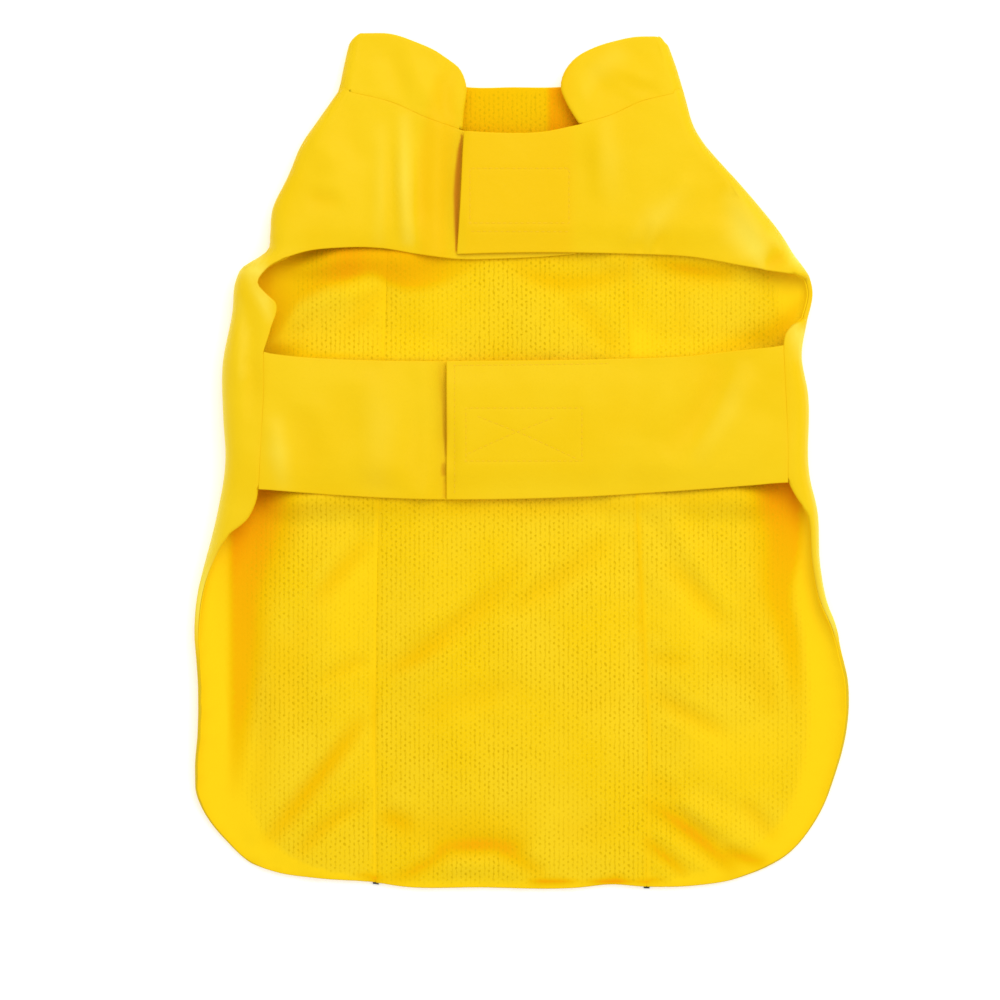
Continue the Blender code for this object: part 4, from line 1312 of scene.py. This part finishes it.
# Inside the left leg opening, the painted shadow of the chest lies above this line.
UNDER_CHEST_SHADOW = table(
    "x line peak",
    (-128, 60, 0.15), (-118, 54, 0.3), (-112, 62, 0.32), (-107, 70, 0.36), (-98, 77, 0.44), (-80, 83, 0.66),
    (-70, 85, 0.56), (-60, 80, 0.55), (-38, 81, 0.46), (-26, 87, 0.3), (-14, 92, 0),
)


def lining_painted_shading(x, y, u, from_edge):
    """Painted shade: in the creases, and orange in the caves under the strap's ends and under the chest."""
    caves = np.zeros(x.shape)
    for cave, inwards in ((LEFT_CAVE_SHADE, x + 137.5), (RIGHT_CAVE_SHADE, 132 - x - 4.5 * bell((y + 63) / 16))):
        fade = 1 - ease(1.5 * inwards / read(cave, "width", y) - 0.5)
        caves = np.maximum(caves, read(cave, "peak", y) * fade * ease(inwards / 5 + 0.5) * (y < 5))
    chest = read(UNDER_CHEST_SHADOW, "peak", x) * ease((y - read(UNDER_CHEST_SHADOW, "line", x)) / 7 + 0.3) * (x < -14) * (y > 40)
    return np.maximum(np.maximum(caves, chest), lining_painted_strokes(x, y))


def neck_painted_shade(x, y, u, from_edge):
    """Painted shade inside the collar, and a painted shadow of the right wing beside its right end."""
    return (0.37 + 0.06 * ease((10 - x) / 20) + 0.34 * ease((x - 11) / 3)) * (abs(u) < 100)

# %% Painted shade and highlights on the shell, and painted shadows in the slits beside the closed tabs
shell_painted_strokes = painted_strokes(
    crease_lines(SHELL_CREASES),
    ((90, 42, 8, 0.07), (86, 26, 7, 0.07), (72, 8, 6, 0.03)),
    ((-55, 160, 3, -0.15), (-54.5, 132, 3.6, -0.36), (-53, 104, 3, -0.25)),
    ((-66, 156, 3, -0.05), (-66, 130, 3.5, -0.12), (-67, 104, 3, -0.08)),
    ((57, 106, 5, -0.1), (64, 115, 6, -0.22), (76, 126, 5, -0.05)),
    ((100, 122, 6, -0.2), (105, 108, 8, -0.5), (110, 99, 6, -0.6), (113, 93, 3, -0.3)),
    ((118, 106, 2.5, -0.2), (127, 96, 3, -0.6), (131, 90, 2, -0.3)),
    ((-132, 90, 3, -0.2), (-125, 90, 5, -0.7), (-119, 86, 3, -0.3)),
    ((-127, 84, 2.5, -0.1), (-121, 76, 3, -0.45), (-118, 66, 2, -0.15)),
    ((-132, 74, 2.5, -0.1), (-130, 60, 3, -0.18), (-131, 40, 2.5, -0.1)),
    ((127, 67, 3, -0.2), (130, 60, 4, -0.7), (130, 50, 3, -0.2)),
    ((-115, 18, 4, -0.1), (-114, 4, 4.5, -0.3), (-112, -10, 4, -0.1)),
    ((-70, 40, 6, -0.02), (-66, 18, 7, -0.1), (-68, -10, 6, -0.05)),
    ((104, 44, 5, -0.05), (96, 24, 6, -0.16), (84, 4, 5, -0.05)),
    ((44, 190, 5, -0.1), (34, 182, 5, -0.15), (30, 172, 3, -0.05)),
    ((40, 158, 4, -0.08), (42, 142, 5, -0.14), (42, 126, 5, -0.05)),
    share=0.6,
)
# Painted shade on the left tabs beside the right tabs' ends, and painted shadows in the slits between them.
shade_beside_slit = painted_strokes(
    (),
    ((-36, 178, 6, 0.14), (-38, 160, 8, 0.28), (-41, 140, 8, 0.32), (-42.5, 118, 7.5, 0.34), (-41, 98, 7, 0.3)),
    power=6,
)
slit_shadow_strokes = painted_strokes(
    (),
    (
        (-27.9, 153.5, 0.4, 0.9), (-29, 146, 1.2, 1), (-29.9, 135.7, 1.6, 1), (-30.5, 125.4, 1.7, 1),
        (-30.6, 108.4, 1, 1), (-30.8, 98, 0.4, 0.8),
    ),
    (
        (-38.4, 46, 1.6, 0.06), (-37.8, 43, 1.9, 0.1), (-36.9, 34, 1.7, 0.2), (-36.2, 25, 1.35, 0.32),
        (-35.9, 12, 1.1, 0.5), (-35.6, 3, 0.5, 0.4),
    ),
    ((-36.8, -2.4, 1.1, 0.5), (-36.7, -6.5, 1, 0.5)),
    ((-36.3, -9, 0.8, 0.2), (-36.4, -17, 0.7, 0.2)),
    power=4,
)


def shell_painted_shading(x, y, u, from_edge):
    """Painted shade and highlights: belly strokes, roll highlights, shade on the chest tab and by the right leg."""
    belly = ease((abs(u) - FOLD_LINE) / 8)
    leg = (u > 0) * np.exp(-(((y - 75) / 14) ** 4))  # the right leg opening, where the lining reaches the side
    # A painted highlight along each roll, and a little painted shade on the closed chest tab.
    roll = 0.72 * bell((abs(u) - FOLD_LINE - 1) / 8) * ease((abs(u) - FOLD_LINE + 7) / 7) * (1 - leg)
    tab = 0.22 * ease((x + 29) / 4) * ease((28 - x) / 8) * ease((y - 90) / 6) * (u > 0)
    on_belly = (shell_painted_strokes(x, y) + shade_beside_slit(x, y) * (u < 0) + tab) * belly
    return on_belly - roll + 0.2 * leg * (abs(u) < FOLD_LINE + 30)


# Painted shadows in the slits, on the belly side only.
def shell_slit_shadow(x, y, u, from_edge):
    return slit_shadow_strokes(x, y) * (abs(u) > FOLD_LINE)

# %% Puckers
gather, gather_fine, neck_gather = waves(9, 0.16, 31), waves(4.6, 0.07, 33), waves(8, 0.3, 41)


def shell_lift(u, v):
    """Small puckers where the hem is turned."""
    away, _ = nearest(hem_line[::2], u, v)
    return (gather(u, v) + gather_fine(u, v)) * bell(away / 5)


def lining_lift(u, v):
    away, _ = nearest(hem_line[::2], u, v)
    puckers = (gather(u, v) + gather_fine(u, v)) * bell(away / 6)
    return lining_rise(u, v) + puckers - 0.15 * bell(away / 4.5)


def collar_lift(u, v):
    """The collar gathers where it is sewn to the neck."""
    away, _ = nearest(neck_line[::2], u, v)
    return (neck_gather(u, v) + gather_fine(u, v)) * bell(away / 4)


def neck_lift(u, v):
    return shell_lift(u, v) + collar_lift(u, v)

# %% [markdown]
# ## The pieces of cloth
#
# With the cut, the fold, the form and the edge at hand, each piece is one line. They are made in the
# order in which a machinist would lay them: the lining and shell of the back, the collar, the belly
# strap, and the tapes between the tabs.

# %% Shell, lining, collar and strap
KNIT = dict(wall=LINING_WALL, depth=LINING_DEPTH, rolled=False, edge=0.16, gap=0.03)
detail_on = {
    "shell_left": [over(LEFT, line_of(((x, 154), (x - 2, 126), (x - 2, 96)), 1)) for x in (-27.4, -30.4)],
    "strap_left": [over(LEFT, line_of(((x, 47), (x + 1, 20), (x + 1, -17)), 1)) for x in (-36.2, -39.4)],
}
pieces = {}


def sew(name, node, slot, finish, cut, **how):
    made = cloth(name, cut, **how)
    made.data.materials.append(finish)
    pieces[name] = (made, node, slot)


# A lining piece stores how open its knit is, and its painted shade and highlights.
def sew_mesh(name, node, cut, knit, deep=lining_painted_shading, **how):
    sew(name, node, "mesh_lining", mesh_cloth, cut, marks={"open_knit": knit, "tone": deep}, **KNIT, **how)


def sew_shell(name, node, cut, **how):
    sew(name, node, "coated_shell", shell_cloth, cut, rows=rows_on.get(name, ()), detail=detail_on.get(name, ()), **how)


for side, word in ((LEFT, "left"), (RIGHT, "right")):
    on_side = dict(form=shell_form(side), marks={"tone": shell_painted_shading, "painted_slit_shadow": shell_slit_shadow})
    sew_mesh(f"mesh_{word}", f"lining_{word}", side_cut(side, True), lining_knit, form=level_form, lift=lining_lift)
    sew_shell(f"shell_{word}", f"side_{word}", side_cut(side, False), lift=neck_lift, **on_side)
    sew_shell(f"strap_{word}", f"belly_strap_{word}", strap_cut(side), **on_side)
sew_mesh("mesh_centre", "lining_centre", back_cut(True), centre_knit, form=level_form, lift=lining_lift)
sew_shell("shell_centre", "back_centre", back_cut(False), form=centre_form, lift=shell_lift)
on_neck = dict(form=collar_form, lift=collar_lift, grid=2.0)
sew_shell("collar_shell", "collar_outer", collar_cut(), marks={"tone": shell_painted_shading}, edge=0.3, gap=0.04, **on_neck)
sew_mesh("collar_mesh", "collar_lining", collar_cut(), collar_knit, neck_painted_shade, **on_neck)

# %% Tapes
for word, box in (("chest", CHEST_TAPE), ("belly", BELLY_TAPE)):
    for kind, side, depth in (("loop", LEFT, -GAP - TAPE), ("hook", RIGHT, WALL + GAP)):
        laid = dict(form=shell_form(side), wall=TAPE, depth=depth)
        sew(f"{kind}_tape_{word}", f"{word}_{kind}", "closure_tape", tape_cloth, tape_cut(side, box), **laid)

# %% [markdown]
# ## The piping
#
# A thin dark cord covered in cloth is caught in each seam of the back. It runs the whole length on the
# hidden side, and its cut end just peeps out at the hem. The same builder makes it, from a long narrow cut.

# %% Piping
for side, word in ((LEFT, "left"), (RIGHT, "right")):
    sew(f"piping_strip_{word}", f"piping_{word}", "piping", piping_cloth, piping_cut(side), form=centre_form)

# %% [markdown]
# ## Stitches
#
# A row of stitches is the same short thread again and again along a line, which is what Geometry Nodes
# are for. The line is resampled at the stitch length, a small thread is set at each point, and each is
# turned to run along the line and to lie on the cloth. Placing them one by one would take hundreds of
# objects, and a plain tube would not show the dips between them.

# %% The stitching tree
STITCH = {"Stitch pitch": 0.0027, "Stitch length": 0.0021, "Thread thickness": 0.00036, "Unevenness": 0.06, "Seed": 7}
stitch_tree = bpy.data.node_groups.new("stitching", "GeometryNodeTree")
for label, kind in {"Rows": "Geometry", **dict.fromkeys(STITCH, "Float"), "Seed": "Int", "Thread": "Material"}.items():
    socket = stitch_tree.interface.new_socket(name=label, in_out="INPUT", socket_type=f"NodeSocket{kind}")
    if label in STITCH:
        socket.default_value = STITCH[label]
stitch_tree.interface.new_socket(name="Stitches", in_out="OUTPUT", socket_type="NodeSocketGeometry")


def add(kind, inputs={}, output=0, **settings):
    return node_of(stitch_tree, kind, inputs, output, **settings)


asked = {socket.name: Level(socket) for socket in stitch_tree.nodes.new("NodeGroupInput").outputs}
curve = add("GeometryNodeMeshToCurve", {"Mesh": asked["Rows"]}, "Curve")
curve = add("GeometryNodeResampleCurve", {"Curve": curve, "Length": asked["Stitch pitch"]}, "Curve", mode="LENGTH")
stitch = add("GeometryNodeMeshUVSphere", {"Segments": 6, "Rings": 5, "Radius": 0.5}, "Mesh")
thick = asked["Thread thickness"]
size = add("ShaderNodeCombineXYZ", {"X": asked["Stitch length"], "Y": thick, "Z": thick}, "Vector")
stitch = add("GeometryNodeTransform", {"Geometry": stitch, "Scale": size}, "Geometry")
tangent = add("GeometryNodeInputTangent", output="Tangent")
turning = add("FunctionNodeAlignRotationToVector", {"Vector": tangent}, "Rotation", axis="X")
outward = add("GeometryNodeInputNamedAttribute", {"Name": "outward"}, "Attribute", data_type="FLOAT_VECTOR")
to_face = {"Rotation": turning, "Vector": outward}
turning = add("FunctionNodeAlignRotationToVector", to_face, "Rotation", axis="Z", pivot_axis="X")
limits = {"Min": 1.0 - asked["Unevenness"], "Max": asked["Unevenness"] + 1.0, "Seed": asked["Seed"]}
uneven = add("FunctionNodeRandomValue", limits, "Value", data_type="FLOAT_VECTOR")
to_lay = {"Points": curve, "Instance": stitch, "Rotation": turning, "Scale": uneven}
laid = add("GeometryNodeInstanceOnPoints", to_lay, "Instances")
laid = add("GeometryNodeRealizeInstances", {"Geometry": laid}, "Geometry")
laid = add("GeometryNodeSetMaterial", {"Geometry": laid, "Material": asked["Thread"]}, "Geometry")
feed(stitch_tree.nodes.new("NodeGroupOutput").inputs["Stitches"], laid)
print("stitching tree:", len(stitch_tree.nodes), "nodes")

# %% Lay the thread
FORMS = {"left": shell_form(LEFT), "right": shell_form(RIGHT), "centre": centre_form}
ON_TOP, UNDERNEATH = 0.10, 0.22  # on the hidden side the thread lies a little deeper


def stitched(name, rows):
    """A piece of thread for rows of (flat line, depth, form)."""
    spots, ways = zip(*(fold(*line.T, np.full(len(line), depth), form) for line, depth, form in rows))
    edges, start = [], 0
    for line, _, _ in rows:
        edges += [(start + k, start + k + 1) for k in range(len(line) - 1)]
        start += len(line)
    mesh = bpy.data.meshes.new(name + "_rows")
    mesh.from_pydata(((np.concatenate(spots) - (*MIDDLE, 0)) * MM).tolist(), edges, [])
    outward_of = mesh.attributes.new("outward", "FLOAT_VECTOR", "POINT")
    outward_of.data.foreach_set("vector", np.concatenate(ways).astype(np.float32).ravel())
    guide = set_out(name + "_rows", mesh)
    sewing = guide.modifiers.new("stitching", "NODES")
    sewing.node_group = stitch_tree
    values = {**STITCH, "Thread": thread_finish}
    for item in stitch_tree.interface.items_tree:
        if item.name in values:
            sewing[item.identifier] = values[item.name]
    graph = bpy.context.evaluated_depsgraph_get()
    thread = bpy.data.meshes.new_from_object(guide.evaluated_get(graph), depsgraph=graph)
    thread.name = name
    thread.shade_smooth()
    guide.modifiers.remove(sewing)
    bpy.data.objects.remove(guide)
    print(f"{name}: {len(thread.polygons)} faces, materials {[m.name for m in thread.materials if m]}")
    return set_out(name, thread)


thread_rows = []
for name, rows in rows_on.items():
    form = FORMS[name.split("_")[1]]
    thread_rows += [(row, UNDERNEATH if abs(row[0, 0]) < 100 else ON_TOP, form) for row in rows]
threads = stitched("stitches", thread_rows)

# %% [markdown]
# ## Each piece on the coat's body
#
# Each dressed piece rides on the coat's one body and hides the plain solid that it stands for. The size
# it was cut to is read from the flat cut itself.

# %% On the body
for name, (made, node, slot) in pieces.items():
    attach(made, "root")
    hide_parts(node)
    if not name.startswith("piping"):
        width, length, area = sewn[name]
        if node.endswith(("hook", "loop")):  # a tape is a plain rectangle
            width = area / length
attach(threads, "root")
total = sum(len(piece[0].data.polygons) for piece in pieces.values()) + len(threads.data.polygons)
print("pieces:", len(pieces) + 1, "faces:", total)
